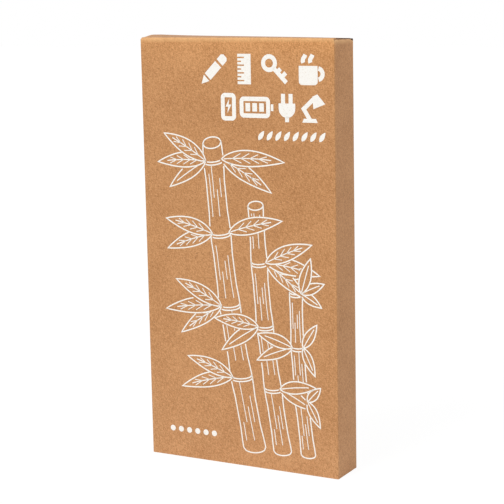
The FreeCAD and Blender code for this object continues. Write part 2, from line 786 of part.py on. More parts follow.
def make_lid():
    """The lid, hinged on the front panel's fold, with a tongue bowed along the lid's own swing."""
    lid = board_panel(
        "lid_panel", "XY_Plane", "lid_plane", rectangle("-lid_half", "lid_half", "front_face", "lid_back")
    )
    fillet(
        lid,
        "lid_fold",
        "fold_round",
        lambda edge: lies_at(edge, "Y", "front_face") and lies_at(edge, "Z", "carton_height"),
    )
    finish(lid, "lid_panel")
    make_tongue()


def make_tongue():
    """A band of board between two arcs about the lid's hinge, so that it swings clear of the back panel."""
    body = new_body("tuck_tongue")
    sketch = sketch_on(body, "tongue_section", "YZ_Plane")
    hinge = FreeCAD.Vector(size("front_face"), size("lid_plane"))
    tip = -math.asin(size("tongue_depth") / size("lid_reach"))
    arcs = []
    for radius in ("lid_reach", "tongue_inner"):
        circle = Part.Circle(hinge, FreeCAD.Vector(0, 0, 1), size(radius))
        arcs.append(Part.ArcOfCircle(circle, tip, 0))
    sketch.addGeometry(arcs[0])
    sketch.addGeometry(arcs[1])
    sketch.addGeometry(Part.LineSegment(arcs[0].EndPoint, arcs[1].EndPoint))
    sketch.addGeometry(Part.LineSegment(arcs[1].StartPoint, arcs[0].StartPoint))
    for joined in ((0, 2, 2, 1), (2, 2, 1, 2), (1, 1, 3, 1), (3, 2, 0, 1), (0, 3, 1, 3)):
        sketch.addConstraint(Sketcher.Constraint("Coincident", *joined))
    sketch.addConstraint(Sketcher.Constraint("Horizontal", 0, 3, 0, 2))
    sketch.addConstraint(Sketcher.Constraint("Horizontal", 2))
    sketch.addConstraint(Sketcher.Constraint("PointOnObject", 0, 3, 3))
    tie(sketch, "Radius", (0,), "lid_reach")
    tie(sketch, "Radius", (1,), "tongue_inner")
    tie(sketch, "DistanceX", (-1, 1, 0, 3), "front_face")
    tie(sketch, "DistanceY", (-1, 1, 0, 3), "lid_plane")
    tie(sketch, "DistanceY", (0, 1, 0, 3), "tongue_depth")
    pad(body, sketch, "tongue_half * 2", both_ways=True)
    tip_height = size("lid_plane") - size("tongue_depth")
    fillet(
        body,
        "tongue_corners",
        "tongue_corner",
        lambda edge: is_tip_corner(edge, tip_height),
    )
    finish(body, "tuck_tongue")


def is_tip_corner(edge, tip_height):
    """Whether an edge is one of the tongue's two short corner edges at its free end."""
    straight = edge.BoundBox.XLength < TINY and len(edge.Vertexes) == 2
    return straight and abs(edge.BoundBox.ZMin - tip_height) < TINY and edge.Length < size("board") + TINY


def make_dust_flaps():
    """Two tapered flaps under the lid, each hinged on the top fold of a side panel."""
    half_outline = [
        ("carton_half", "dust_root_front"),
        ("dust_shoulder_x", "dust_root_front"),
        ("dust_tip_x", "dust_tip_front"),
        ("dust_tip_x", "dust_tip_back"),
        ("dust_shoulder_x", "dust_root_back"),
        ("carton_half", "dust_root_back"),
    ]
    for label, sign in (("dust_flap_left", "-"), ("dust_flap_right", "")):
        corners = [(sign + x, y) for x, y in half_outline]
        flap = board_panel(label, "XY_Plane", "dust_plane", corners)
        tip = sign + "dust_tip_x"
        fillet(
            flap,
            label + "_corners",
            "dust_corner",
            lambda edge: runs_along(edge, "Z") and lies_at(edge, "X", tip),
        )
        finish(flap, label)


# The whole part

def check_document():
    """Stops if any object failed or a sub-part has no valid solid."""
    failed = [item.Name for item in doc.Objects if {"Invalid", "Error"} & set(item.State)]
    broken = [item.Label for item in nodes if item.Shape.isNull() or not item.Shape.isValid()]
    hollow = [item.Label for item in nodes if not item.Shape.Solids]
    if failed or broken or hollow:
        raise RuntimeError(f"failed {failed}, not valid {broken}, no solid {hollow}")


def export_parts():
    """Writes each sub-part to a file of its own, named by its label."""
    os.makedirs(PARTS_FOLDER, exist_ok=True)
    for item in nodes:
        item.Shape.exportStep(os.path.join(PARTS_FOLDER, item.Label + ".step"))


def main():
    """Builds every sub-part, checks the document and writes the files."""
    fill_sheet()
    make_bamboo_body()
    make_feet()
    make_cover()
    make_screws(
        "cover_screws", COVER_SCREWS, "cover_screw", "cover_recess",
        "cover_recess + cover_screw_head_height",
        "cover_thickness - cover_screw_head_height + cover_screw_bite",
    )
    make_circuit_board()
    make_screws(
        "circuit_screws", CIRCUIT_SCREWS, "circuit_screw", "circuit_top",
        "circuit_plane - circuit_screw_bite", "circuit_screw_bite + circuit_thickness",
    )
    make_soldered_parts()
    make_usb_inlet()
    make_status_light()
    make_coil_stack()
    make_insert()
    make_sleeve()
    make_lid()
    make_dust_flaps()
    doc.recompute()
    check_document()
    export_parts()
    print(f"{len(nodes)} sub-parts, carton {2 * size('carton_half'):.1f} x {size('carton_depth'):.1f}"
          f" x {size('carton_height'):.1f} mm")


main()
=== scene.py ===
"""Looks of the boxed bamboo organizer: the folded kraft carton, its white print, the tray and the studio.

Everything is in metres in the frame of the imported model: +Z up, the printed front facing -Y.
"""

import logging
import math
from collections.abc import Callable, Iterable, Sequence
from dataclasses import dataclass, field
from enum import Enum
from typing import NamedTuple

import bmesh
import bpy
from mathutils import Matrix, Vector


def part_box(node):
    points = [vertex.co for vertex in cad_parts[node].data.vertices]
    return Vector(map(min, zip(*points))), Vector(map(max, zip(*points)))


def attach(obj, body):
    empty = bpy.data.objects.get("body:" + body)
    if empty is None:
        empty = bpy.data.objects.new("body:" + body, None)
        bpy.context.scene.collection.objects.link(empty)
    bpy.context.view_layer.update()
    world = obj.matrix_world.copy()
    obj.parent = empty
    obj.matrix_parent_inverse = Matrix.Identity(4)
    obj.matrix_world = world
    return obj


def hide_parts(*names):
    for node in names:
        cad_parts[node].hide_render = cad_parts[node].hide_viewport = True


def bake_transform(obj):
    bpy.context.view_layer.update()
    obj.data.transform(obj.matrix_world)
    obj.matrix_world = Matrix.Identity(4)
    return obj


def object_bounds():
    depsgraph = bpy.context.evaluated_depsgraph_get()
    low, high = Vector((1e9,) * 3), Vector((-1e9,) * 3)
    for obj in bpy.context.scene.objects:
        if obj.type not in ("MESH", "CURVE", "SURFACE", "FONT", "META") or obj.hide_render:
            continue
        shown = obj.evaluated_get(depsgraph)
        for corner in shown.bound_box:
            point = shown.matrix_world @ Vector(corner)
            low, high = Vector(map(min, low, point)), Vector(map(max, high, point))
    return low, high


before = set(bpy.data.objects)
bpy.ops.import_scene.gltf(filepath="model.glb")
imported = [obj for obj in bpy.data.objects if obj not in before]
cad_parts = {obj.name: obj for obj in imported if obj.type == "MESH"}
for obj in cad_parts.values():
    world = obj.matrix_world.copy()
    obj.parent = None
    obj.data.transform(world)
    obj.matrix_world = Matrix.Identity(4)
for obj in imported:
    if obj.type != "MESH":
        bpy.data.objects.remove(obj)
cad_low, cad_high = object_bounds()

log = logging.getLogger("boxed_organizer")
MM = 0.001
CRISP_DEG = 35  # edges that turn more than this stay sharp
TINY = 1e-6
UNDER, OVER, MIXED = 6, 7, 2  # numbers of a mix node's colour sockets

Grid = list[list[Vector]]
Flat = tuple[float, float]
Triple = tuple[float, float, float]
Colour = tuple[float, float, float]


class Body(Enum):
    """The moving bodies that pieces ride on."""

    SLEEVE = "sleeve"
    LID = "lid"
    FLAP_LEFT = "dust_flap_left_body"
    FLAP_RIGHT = "dust_flap_right_body"


class Side(Enum):
    """Left and right of the carton, as the sign of x."""

    LEFT = -1
    RIGHT = 1


class Blend(Enum):
    """How one colour is laid over another."""

    COVER = "MIX"
    TINT = "MULTIPLY"


# Plain helpers

def steps(start: float, end: float, count: int) -> list[float]:
    """Values from start to end, both included, with count even spaces between them."""
    return [start + (end - start) * n / count for n in range(count + 1)]


def clamped(value: float) -> float:
    """A value held between 0 and 1."""
    return min(max(value, 0.0), 1.0)


def smooth_step(value: float) -> float:
    """Eases a value from 0 to 1."""
    value = clamped(value)
    return value * value * (3 - 2 * value)


def direction(turn_deg: float) -> Flat:
    """The cosine and sine of a turn."""
    return math.cos(math.radians(turn_deg)), math.sin(math.radians(turn_deg))


def add_object(name: str, data: bpy.types.ID) -> bpy.types.Object:
    """Puts a mesh, a lamp or a camera into the scene.

    Args:
        name: The object's name.
        data: What it holds.

    Returns:
        The new object.
    """
    item = bpy.data.objects.new(name, data)
    bpy.context.collection.objects.link(item)
    return item


# Finishes

@dataclass(frozen=True)
class Value:
    """A number or colour that varies over a surface: a socket of a node tree, with plain arithmetic."""

    tree: bpy.types.NodeTree
    socket: bpy.types.NodeSocket

    def step(self, kind: str, other: "Value | float" = 0) -> "Value":
        """One step of arithmetic.

        Args:
            kind: The operation's name in the math node.
            other: The second value, where the operation takes one.

        Returns:
            The result.
        """
        node = self.tree.nodes.new("ShaderNodeMath")
        node.operation = kind
        put(self, node.inputs[0])
        put(other, node.inputs[1])
        return Value(self.tree, node.outputs[0])

    def __add__(self, other: "Value | float") -> "Value":
        """The sum."""
        return self.step("ADD", other)

    def __sub__(self, other: "Value | float") -> "Value":
        """The difference."""
        return self.step("SUBTRACT", other)

    def __mul__(self, other: "Value | float") -> "Value":
        """The product."""
        return self.step("MULTIPLY", other)

    def __truediv__(self, number: float) -> "Value":
        """The value divided by a number."""
        return self.step("MULTIPLY", 1 / number)

    def __abs__(self) -> "Value":
        """The value without its sign."""
        return self.step("ABSOLUTE")

    def most(self, other: "Value | float") -> "Value":
        """The larger of two."""
        return self.step("MAXIMUM", other)

    def least(self, other: "Value | float") -> "Value":
        """The smaller of two."""
        return self.step("MINIMUM", other)

    def exp(self) -> "Value":
        """The exponential."""
        return self.step("EXPONENT")

    def floor(self) -> "Value":
        """The whole number below."""
        return self.step("FLOOR")

    def fraction(self) -> "Value":
        """What is left above the whole number below."""
        return self.step("FRACT")

    def scattered(self) -> "Value":
        """A number that jumps from each value to the next.

        Returns:
            The number, from 0 to 1.
        """
        node = self.tree.nodes.new("ShaderNodeTexWhiteNoise")
        node.noise_dimensions = "1D"
        put(self, node.inputs["W"])
        return Value(self.tree, node.outputs["Value"])

    def spread(self, low: float, high: float, start: float = 0, end: float = 1) -> "Value":
        """Spreads a stretch of the value over a range, and holds it at the range's ends.

        Args:
            low: The result at the start.
            high: The result at the end.
            start: Where the stretch starts.
            end: Where it ends.

        Returns:
            The result.
        """
        node = self.tree.nodes.new("ShaderNodeMapRange")
        for name, number in (("From Min", start), ("From Max", end), ("To Min", low), ("To Max", high)):
            put(number, node.inputs[name])
        put(self, node.inputs["Value"])
        return Value(self.tree, node.outputs["Result"])

    def coloured(self, *stops: tuple[float, Colour]) -> "Value":
        """Colours along the value.

        Args:
            stops: Places and their colours, at least two.

        Returns:
            The colour.
        """
        node = self.tree.nodes.new("ShaderNodeValToRGB")
        elements = node.color_ramp.elements
        while len(elements) < len(stops):
            elements.new(1)
        for element, (place, colour) in zip(elements, stops):
            element.position = place
            element.color = (*colour, 1)
        put(self, node.inputs["Fac"])
        return Value(self.tree, node.outputs["Color"])

    def share(self, *stops: Flat) -> "Value":
        """Shares along the value, given as places and the share at each."""
        return self.coloured(*((place, (amount,) * 3) for place, amount in stops))

    def covered(self, share: "Value", over: Colour, blend: Blend = Blend.COVER) -> "Value":
        """This colour with another laid over it.

        Args:
            share: How much of the upper colour shows.
            over: The upper colour.
            blend: How they mix.

        Returns:
            The mixed colour.
        """
        node = self.tree.nodes.new("ShaderNodeMix")
        node.data_type = "RGBA"
        node.blend_type = blend.value
        put(share, node.inputs["Factor"])
        put(self, node.inputs[UNDER])
        put(over, node.inputs[OVER])
        return Value(self.tree, node.outputs[MIXED])


def put(value: Value | Colour | float, socket: bpy.types.NodeSocket) -> None:
    """Sets a socket to a varying value, a colour or a number.

    Args:
        value: What it is set to.
        socket: The socket.
    """
    if isinstance(value, Value):
        value.tree.links.new(value.socket, socket)
    elif isinstance(value, tuple):
        socket.default_value = (*value, 1)
    else:
        socket.default_value = value


class Shading:
    """A material under construction, with short calls for what the finishes share."""

    def __init__(self, name: str) -> None:
        """Starts a material with one principled shader.

        Args:
            name: The material's name.
        """
        self.material = bpy.data.materials.new(name)
        self.material.use_nodes = True
        self.tree = self.material.node_tree
        self.shader = self.tree.nodes["Principled BSDF"]
        self.place = Value(self.tree, self.tree.nodes.new("ShaderNodeTexCoord").outputs["Object"])

    def along(self, axis: str) -> Value:
        """Place along an axis.

        Args:
            axis: The axis.

        Returns:
            The place, in metres.
        """
        parts = self.tree.nodes.new("ShaderNodeSeparateXYZ")
        put(self.place, parts.inputs["Vector"])
        return Value(self.tree, parts.outputs[axis])

    def noise(
        self, feature: Triple, detail: float = 3, rough: float = 0.55, turn_deg: Triple = (0, 0, 0)
    ) -> Value:
        """Soft noise whose spots have the wanted size.

        Args:
            feature: The spots' size along x, y and z, in metres.
            detail: How many finer layers are added.
            rough: How strong the finer layers are.
            turn_deg: How the spots' axes are turned.

        Returns:
            The noise, from 0 to 1.
        """
        mapping = self.tree.nodes.new("ShaderNodeMapping")
        mapping.vector_type = "TEXTURE"
        mapping.inputs["Rotation"].default_value = [math.radians(turn) for turn in turn_deg]
        mapping.inputs["Scale"].default_value = feature
        put(self.place, mapping.inputs["Vector"])
        node = self.tree.nodes.new("ShaderNodeTexNoise")
        for name, number in (("Scale", 1), ("Detail", detail), ("Roughness", rough)):
            put(number, node.inputs[name])
        put(Value(self.tree, mapping.outputs["Vector"]), node.inputs["Vector"])
        return Value(self.tree, node.outputs["Fac"])

    def finished(
        self,
        colour: Value,
        rough: Value,
        height: Value,
        depth: float,
        strength: float,
        fixed: dict[str, float] | None = None,
    ) -> bpy.types.Material:
        """Joins colour, roughness and relief to the shader.

        Args:
            colour: The base colour.
            rough: The roughness.
            height: The relief, from 0 to 1.
            depth: What a height of 1 stands for, in metres.
            strength: How much of the relief shows.
            fixed: Numbers for the shader's other sockets.

        Returns:
            The material.
        """
        relief = self.tree.nodes.new("ShaderNodeBump")
        put(depth, relief.inputs["Distance"])
        put(strength, relief.inputs["Strength"])
        put(height, relief.inputs["Height"])
        put(colour, self.shader.inputs["Base Color"])
        put(rough, self.shader.inputs["Roughness"])
        put(Value(self.tree, relief.outputs["Normal"]), self.shader.inputs["Normal"])
        for name, number in (fixed or {}).items():
            put(number, self.shader.inputs[name])
        return self.material


class NearFolds(NamedTuple):
    """How near the board is to its folds, from 0 to 1."""

    sides: Value
    faces: Value
    lid_crease: Value
    flap_creases: Value


@dataclass(frozen=True)
class KraftBoard:
    """Unbleached board with pressed fibres, pale and dark flecks, a cloudy tone, scuffing and a painted
    highlight along the folds, and painted light towards the front's top and the foot.
    """

    name: str
    dark: Colour
    middle: Colour
    light: Colour
    fleck: Colour
    # scuff colour, which is also a painted highlight along the folds
    scuffed_and_highlight: Colour
    folds: Triple
    tone_stops: Triple = (0.44, 0.5, 0.56)
    cloud_size: float = 22 * MM
    cloud_share: float = 0.09
    fibre_length: float = 2.3 * MM
    fibre_width: float = 0.5 * MM
    fibre_detail: float = 4
    fibre_rough: float = 0.66
    fibre_turns_deg: tuple[Triple, ...] = ((15, 24, 8), (-30, -38, 62), (40, 82, -35))
    fleck_size: float = 1.5 * MM
    fleck_height: float = 0.9 * MM
    fleck_detail: float = 1.5
    dark_flecks: tuple[Flat, Flat] = ((0.62, 0.0), (0.72, 0.6))
    pale_flecks: tuple[Flat, Flat] = ((0.28, 0.5), (0.38, 0.0))
    # scuffing with a painted highlight: its reach, and its strength at the upright folds and at the creases
    scuff_and_highlight_reach: float = 2.6 * MM
    upright_scuff_and_highlight: float = 0.1
    crease_scuff_and_highlight: float = 1.3
    crease_drop: float = 1.5 * MM
    patch_size: float = 6 * MM
    patch_detail: float = 4
    patch_rough: float = 0.65
    # painted light that pales the front towards its top crease, more on its right
    painted_top_light: Colour = (1.27, 1.25, 1.16)
    painted_top_light_slant: float = 0.35
    painted_top_light_reach: float = 15 * MM
    # painted light from below, which pales the board and makes it less warm towards its foot
    foot: Colour = (1.27, 1.46, 1.95)
    painted_foot_light_share: float = 0.22
    painted_foot_light_reach: float = 60 * MM
    rough: Flat = (0.78, 0.95)
    tooth: float = 0.05 * MM
    tooth_share: float = 0.6
    specular: float = 0.35
    sheen: float = 0.12
    sheen_rough: float = 0.6

    def build(self) -> bpy.types.Material:
        """Makes the material.

        Returns:
            The material.
        """
        shading = Shading(self.name)
        fibre = (self.fibre_length, self.fibre_width, self.fibre_width)
        layers = [
            shading.noise(fibre, self.fibre_detail, self.fibre_rough, turn) for turn in self.fibre_turns_deg
        ]
        fibres = sum(layers[1:], layers[0]) / len(layers)
        cloud = shading.noise((self.cloud_size,) * 3)
        tone = fibres * (1 - self.cloud_share) + cloud * self.cloud_share
        spots = shading.noise((self.fleck_size, self.fleck_size, self.fleck_height), self.fleck_detail)
        board = tone.coloured(*zip(self.tone_stops, (self.dark, self.middle, self.light)))
        board = board.covered(spots.share(*self.dark_flecks), self.fleck)
        board = board.covered(spots.share(*self.pale_flecks), self.light)
        near = self.near_folds(shading)
        # painted light towards the top and the foot, then scuffing with a painted highlight along the folds
        board = self.with_painted_light(shading, near, board).covered(self.scuffs_and_highlights(shading, near), self.scuffed_and_highlight)
        gloss = {
            "Specular IOR Level": self.specular,
            "Sheen Weight": self.sheen,
            "Sheen Roughness": self.sheen_rough,
        }
        rough = fibres.spread(*self.rough)
        return shading.finished(board, rough, fibres, self.tooth, self.tooth_share, gloss)

    def near_folds(self, shading: Shading) -> NearFolds:
        """How near each place is to the folds.

        Args:
            shading: The material under construction.

        Returns:
            The nearness to the sides, to the front and back, to the lid's crease and to the flaps' creases.
        """
        width, depth, height = self.folds
        edges = (("X", width), ("Y", depth), ("Z", height), ("Z", height - self.crease_drop))
        return NearFolds(
            *(abs(shading.along(axis)).spread(0, 1, edge - self.scuff_and_highlight_reach, edge) for axis, edge in edges)
        )

    def with_painted_light(self, shading: Shading, near: NearFolds, board: Value) -> Value:
        """Paints light on the front towards its top, most on its right, and on all the board a little
        towards its foot.

        Args:
            shading: The material under construction.
            near: The nearness to the folds.
            board: The board's colour.

        Returns:
            The colour with the painted light.
        """
        width, _, height = self.folds
        level = abs(shading.along("Z"))
        slant = shading.along("X") * (self.painted_top_light_slant / width) + (1 - self.painted_top_light_slant / 2)
        # painted light on the front, falling off downward from the top crease
        top = ((level - height) / self.painted_top_light_reach).exp() * near.faces * slant
        # painted light towards the foot
        low = (level / -self.painted_foot_light_reach).exp() * self.painted_foot_light_share
        return board.covered(top, self.painted_top_light, Blend.TINT).covered(low, self.foot, Blend.TINT)

    def scuffs_and_highlights(self, shading: Shading, near: NearFolds) -> Value:
        """Where handling has paled the folds, with a painted highlight laid along them, most along the
        creases.

        Args:
            shading: The material under construction.
            near: The nearness to the folds.

        Returns:
            The share of the scuff and painted highlight colour, patchy along each fold.
        """
        # scuffing and painted highlight, strongest where the front meets the lid and the sides meet the
        # flaps
        upright = near.sides * near.faces * self.upright_scuff_and_highlight
        creases = (near.faces * near.lid_crease).most(near.sides * near.flap_creases) * self.crease_scuff_and_highlight
        patches = shading.noise((self.patch_size,) * 3, self.patch_detail, self.patch_rough)
        return (upright.most(creases) * patches).least(1)


@dataclass(frozen=True)
class CutEdge:
    """The raw edge of board, where its plies show as thin lines."""

    name: str
    dark: Colour
    light: Colour
    ply: float = 0.45 * MM
    run: float = 5 * MM
    tone_stops: Flat = (0.38, 0.62)
    rough: Flat = (0.85, 1)
    relief_share: float = 0.4

    def build(self) -> bpy.types.Material:
        """Makes the material.

        Returns:
            The material.
        """
        shading = Shading(self.name)
        plies = shading.noise((self.ply,) * 3, detail=2)
        torn = shading.noise((self.run,) * 3, detail=4)
        tone = ((plies + torn) / 2).coloured(*zip(self.tone_stops, (self.dark, self.light)))
        return shading.finished(tone, plies.spread(*self.rough), plies, self.ply, self.relief_share)


@dataclass(frozen=True)
class WhiteInk:
    """Opaque white ink that sinks a little into the board's fibres."""

    name: str
    white: Colour = (0.93, 0.905, 0.85)
    worn: Colour = (0.80, 0.74, 0.64)
    tone_stops: Flat = (0.3, 0.46)
    grain: Triple = (1.0 * MM, 0.5 * MM, 0.5 * MM)
    rough: Flat = (0.6, 0.8)
    relief: float = 0.02 * MM
    relief_share: float = 0.5

    def build(self) -> bpy.types.Material:
        """Makes the material.

        Returns:
            The material.
        """
        shading = Shading(self.name)
        fibres = shading.noise(self.grain)
        ink = fibres.coloured(*zip(self.tone_stops, (self.worn, self.white)))
        return shading.finished(ink, fibres.spread(*self.rough), fibres, self.relief, self.relief_share)


@dataclass(frozen=True)
class Bamboo:
    """Glued bamboo strips along the length, with knuckles, fine grain and an oiled sheen."""

    name: str
    strip: float = 13 * MM
    knuckle_gap: float = 148 * MM
    pale: Colour = (0.74, 0.50, 0.245)
    middle: Colour = (0.66, 0.41, 0.185)
    deep: Colour = (0.53, 0.30, 0.12)
    knuckle: Colour = (0.36, 0.185, 0.07)
    grain: Triple = (0.35 * MM, 0.6 * MM, 38 * MM)
    pores: Triple = (0.16 * MM, 0.3 * MM, 6 * MM)
    pore_share: float = 0.3
    sway: Triple = (4 * MM, 4 * MM, 30 * MM)
    sway_reach: float = 3 * MM
    streak_stops: tuple[Flat, ...] = ((0.42, 0.75), (0.60, 0.0))
    knuckle_stops: tuple[Flat, ...] = ((0.003, 0.5), (0.010, 0.22), (0.024, 0.0))
    seam_stops: tuple[Flat, ...] = ((0.484, 0.0), (0.496, 0.55))
    rough: Flat = (0.36, 0.55)
    relief: float = 0.06 * MM
    relief_share: float = 0.35
    oil: float = 0.12
    oil_rough: float = 0.35

    def build(self) -> bpy.types.Material:
        """Makes the material.

        Returns:
            The material.
        """
        shading = Shading(self.name)
        strips = shading.along("X") / self.strip
        tone = strips.floor().scattered()
        grain = shading.noise(self.grain, detail=4, rough=0.6)
        pores = shading.noise(self.pores, detail=2)
        streak = grain * (1 - self.pore_share) + pores * self.pore_share
        wood = tone.coloured((0, self.middle), (1, self.pale))
        wood = wood.covered(streak.share(*self.streak_stops), self.deep)
        sway = shading.noise(self.sway, detail=2) * self.sway_reach
        along = (shading.along("Z") + tone * self.knuckle_gap + sway) / self.knuckle_gap
        wood = wood.covered(abs(along.fraction() - 0.5).share(*self.knuckle_stops), self.knuckle)
        wood = wood.covered(abs(strips.fraction() - 0.5).share(*self.seam_stops), self.deep)
        oiled = {"Coat Weight": self.oil, "Coat Roughness": self.oil_rough}
        rough = streak.spread(*self.rough)
        return shading.finished(wood, rough, streak, self.relief, self.relief_share, oiled)


@dataclass(frozen=True)
class Grained:
    """A finish of one tone with its own grain: moulded plastic, rubber, metal, foam and the like."""

    name: str
    low: Colour
    high: Colour
    rough: Flat
    relief: float
    grain: Triple = (0.25 * MM, 0.25 * MM, 0.25 * MM)
    metallic: float = 0
    clear: float = 0
    tone_stops: Flat = (0.35, 0.65)
    relief_share: float = 0.5

    def build(self) -> bpy.types.Material:
        """Makes the material.

        Returns:
            The material.
        """
        shading = Shading(self.name)
        grain = shading.noise(self.grain, detail=4)
        tone = grain.coloured(*zip(self.tone_stops, (self.low, self.high)))
        body = {"Metallic": self.metallic, "Transmission Weight": self.clear}
        return shading.finished(tone, grain.spread(*self.rough), grain, self.relief, self.relief_share, body)


def plain_finishes() -> tuple[Grained, ...]:
    """The finishes of the organizer's plastic, rubber, metal and electric parts.

    Returns:
        The finishes.
    """
    drawn = (0.1 * MM, 0.1 * MM, 4 * MM)
    woven, foamed, cast = (1.2 * MM,) * 3, (0.4 * MM,) * 3, (2 * MM,) * 3
    return (
        Grained("moulded_black", (0.012, 0.012, 0.014), (0.022, 0.022, 0.025), (0.45, 0.65), 0.02 * MM),
        Grained("foot_rubber", (0.010, 0.010, 0.010), (0.024, 0.024, 0.024), (0.75, 0.95), 0.04 * MM),
        Grained("drawn_steel", (0.42, 0.43, 0.45), (0.62, 0.63, 0.65), (0.22, 0.4), 0.01 * MM, drawn, 1),
        Grained("solder_mask", (0.006, 0.06, 0.028), (0.012, 0.10, 0.05), (0.25, 0.4), 0.02 * MM, woven),
        Grained("sintered_ferrite", (0.03, 0.03, 0.033), (0.07, 0.07, 0.075), (0.6, 0.85), 0.03 * MM),
        Grained("capacitor_ceramic", (0.36, 0.22, 0.11), (0.50, 0.33, 0.19), (0.35, 0.5), 0.01 * MM),
        Grained(
            "enamelled_copper", (0.42, 0.16, 0.05), (0.62, 0.27, 0.10), (0.18, 0.32), 0.01 * MM, metallic=1
        ),
        Grained("white_foam", (0.70, 0.69, 0.66), (0.88, 0.87, 0.84), (0.85, 1), 0.08 * MM, foamed),
        Grained(
            "clear_acrylic", (0.80, 0.84, 0.83), (0.90, 0.93, 0.92), (0.04, 0.12), 0.005 * MM, cast,
            clear=0.85,
        ),
    )


@dataclass(frozen=True)
class Finishes:
    """Every finish of the part, built once."""

    kraft: bpy.types.Material
    kraft_edge: bpy.types.Material
    insert: bpy.types.Material
    ink: bpy.types.Material
    bamboo: bpy.types.Material
    plain: dict[str, bpy.types.Material]

    @classmethod
    def build(cls) -> "Finishes":
        """Makes every material.

        Returns:
            The finishes.
        """
        return cls(
            kraft=KraftBoard(
                "kraft_board",
                dark=(0.402, 0.176, 0.0555),
                middle=(0.521, 0.248, 0.0935),
                light=(0.640, 0.322, 0.1325),
                fleck=(0.22, 0.090, 0.032),
                scuffed_and_highlight=(0.86, 0.50, 0.22),
                folds=tuple(cad_high),
            ).build(),
            # raw edges much darker than the board: partly the cut edge's own tone, partly painted shade for
            # the gaps at the lid's and flaps' ends
            kraft_edge=CutEdge("kraft_cut_edge_with_shade", (0.04, 0.018, 0.008), (0.19, 0.095, 0.04)).build(),
            insert=KraftBoard(
                "insert_board",
                dark=(0.40, 0.215, 0.105),
                middle=(0.51, 0.288, 0.150),
                light=(0.61, 0.365, 0.20),
                fleck=(0.21, 0.10, 0.045),
                scuffed_and_highlight=(0.68, 0.44, 0.26),
                folds=tuple(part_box("insert_side_right")[1]),
            ).build(),
            ink=WhiteInk("white_ink").build(),
            bamboo=Bamboo("oiled_bamboo").build(),
            plain={finish.name: finish.build() for finish in plain_finishes()},
        )


# Meshes

@dataclass
class Mesh:
    """Corners and faces of one piece while it is being built."""

    corners: list[Vector] = field(default_factory=list)
    faces: list[tuple[int, ...]] = field(default_factory=list)
    edge_faces: set[int] = field(default_factory=set)

    def sheet(self, outer: Grid, inner: Grid, ring: bool = False) -> None:
        """Adds a sheet with thickness between two grids of points, closed at its sides.

        Args:
            outer: Rows of points on one face.
            inner: The matching rows on the other face.
            ring: Whether the last row runs on into the first.
        """
        rows, columns = len(outer), len(outer[0])
        start = len(self.corners)
        for grid in (outer, inner):
            self.corners.extend(point for row in grid for point in row)

        def at(row: int, column: int, face: int) -> int:
            """The number of a corner in the grid."""
            return start + (face * rows + row % rows) * columns + column

        rim: list[tuple[tuple[int, int], tuple[int, int]]] = []
        for row in range(rows if ring else rows - 1):
            for column in range(columns - 1):
                quad = [(row, column), (row, column + 1), (row + 1, column + 1), (row + 1, column)]
                self.faces.append(tuple(at(r, c, 0) for r, c in quad))
                self.faces.append(tuple(at(r, c, 1) for r, c in reversed(quad)))
            rim += [((row, columns - 1), (row + 1, columns - 1)), ((row + 1, 0), (row, 0))]
        if not ring:
            for column in range(columns - 1):
                rim += [((0, column), (0, column + 1)), ((rows - 1, column + 1), (rows - 1, column))]
        for first, last in rim:
            self.edge_faces.add(len(self.faces))
            self.faces.append((at(*first, 0), at(*first, 1), at(*last, 1), at(*last, 0)))

    def plate(self, outline: Sequence[Vector], back: Sequence[Vector]) -> None:
        """Adds a flat filled shape with thickness.

        Args:
            outline: The shape's corners on one face, in order.
            back: The matching corners on the other face.
        """
        start, count = len(self.corners), len(outline)
        self.corners.extend((*outline, *back))
        self.faces.append(tuple(range(start, start + count)))
        self.faces.append(tuple(range(start + 2 * count - 1, start + count - 1, -1)))
        for n in range(count):
            after = (n + 1) % count
            self.faces.append((start + n, start + count + n, start + count + after, start + after))

    def piece(
        self, name: str, finish: bpy.types.Material, edge_finish: bpy.types.Material | None = None
    ) -> bpy.types.Object:
        """Turns the corners and faces into an object with smooth faces and crisp folds.

        Args:
            name: The piece's name.
            finish: Its material.
            edge_finish: The material of its raw edges, if they differ.

        Returns:
            The new object.
        """
        data = bpy.data.meshes.new(name)
        data.from_pydata(self.corners, [], self.faces)
        data.materials.append(finish)
        if edge_finish:
            data.materials.append(edge_finish)
            for number in self.edge_faces:
                data.polygons[number].material_index = 1
        work = bmesh.new()
        work.from_mesh(data)
        bmesh.ops.recalc_face_normals(work, faces=work.faces)
        for face in work.faces:
            face.smooth = True
        for edge in work.edges:
            edge.smooth = edge.calc_face_angle(math.pi) < math.radians(CRISP_DEG)
        work.to_mesh(data)
        work.free()
        item = add_object(name, data)
        log.info("built %s: %d corners", name, len(self.corners))
        return item


# The carton

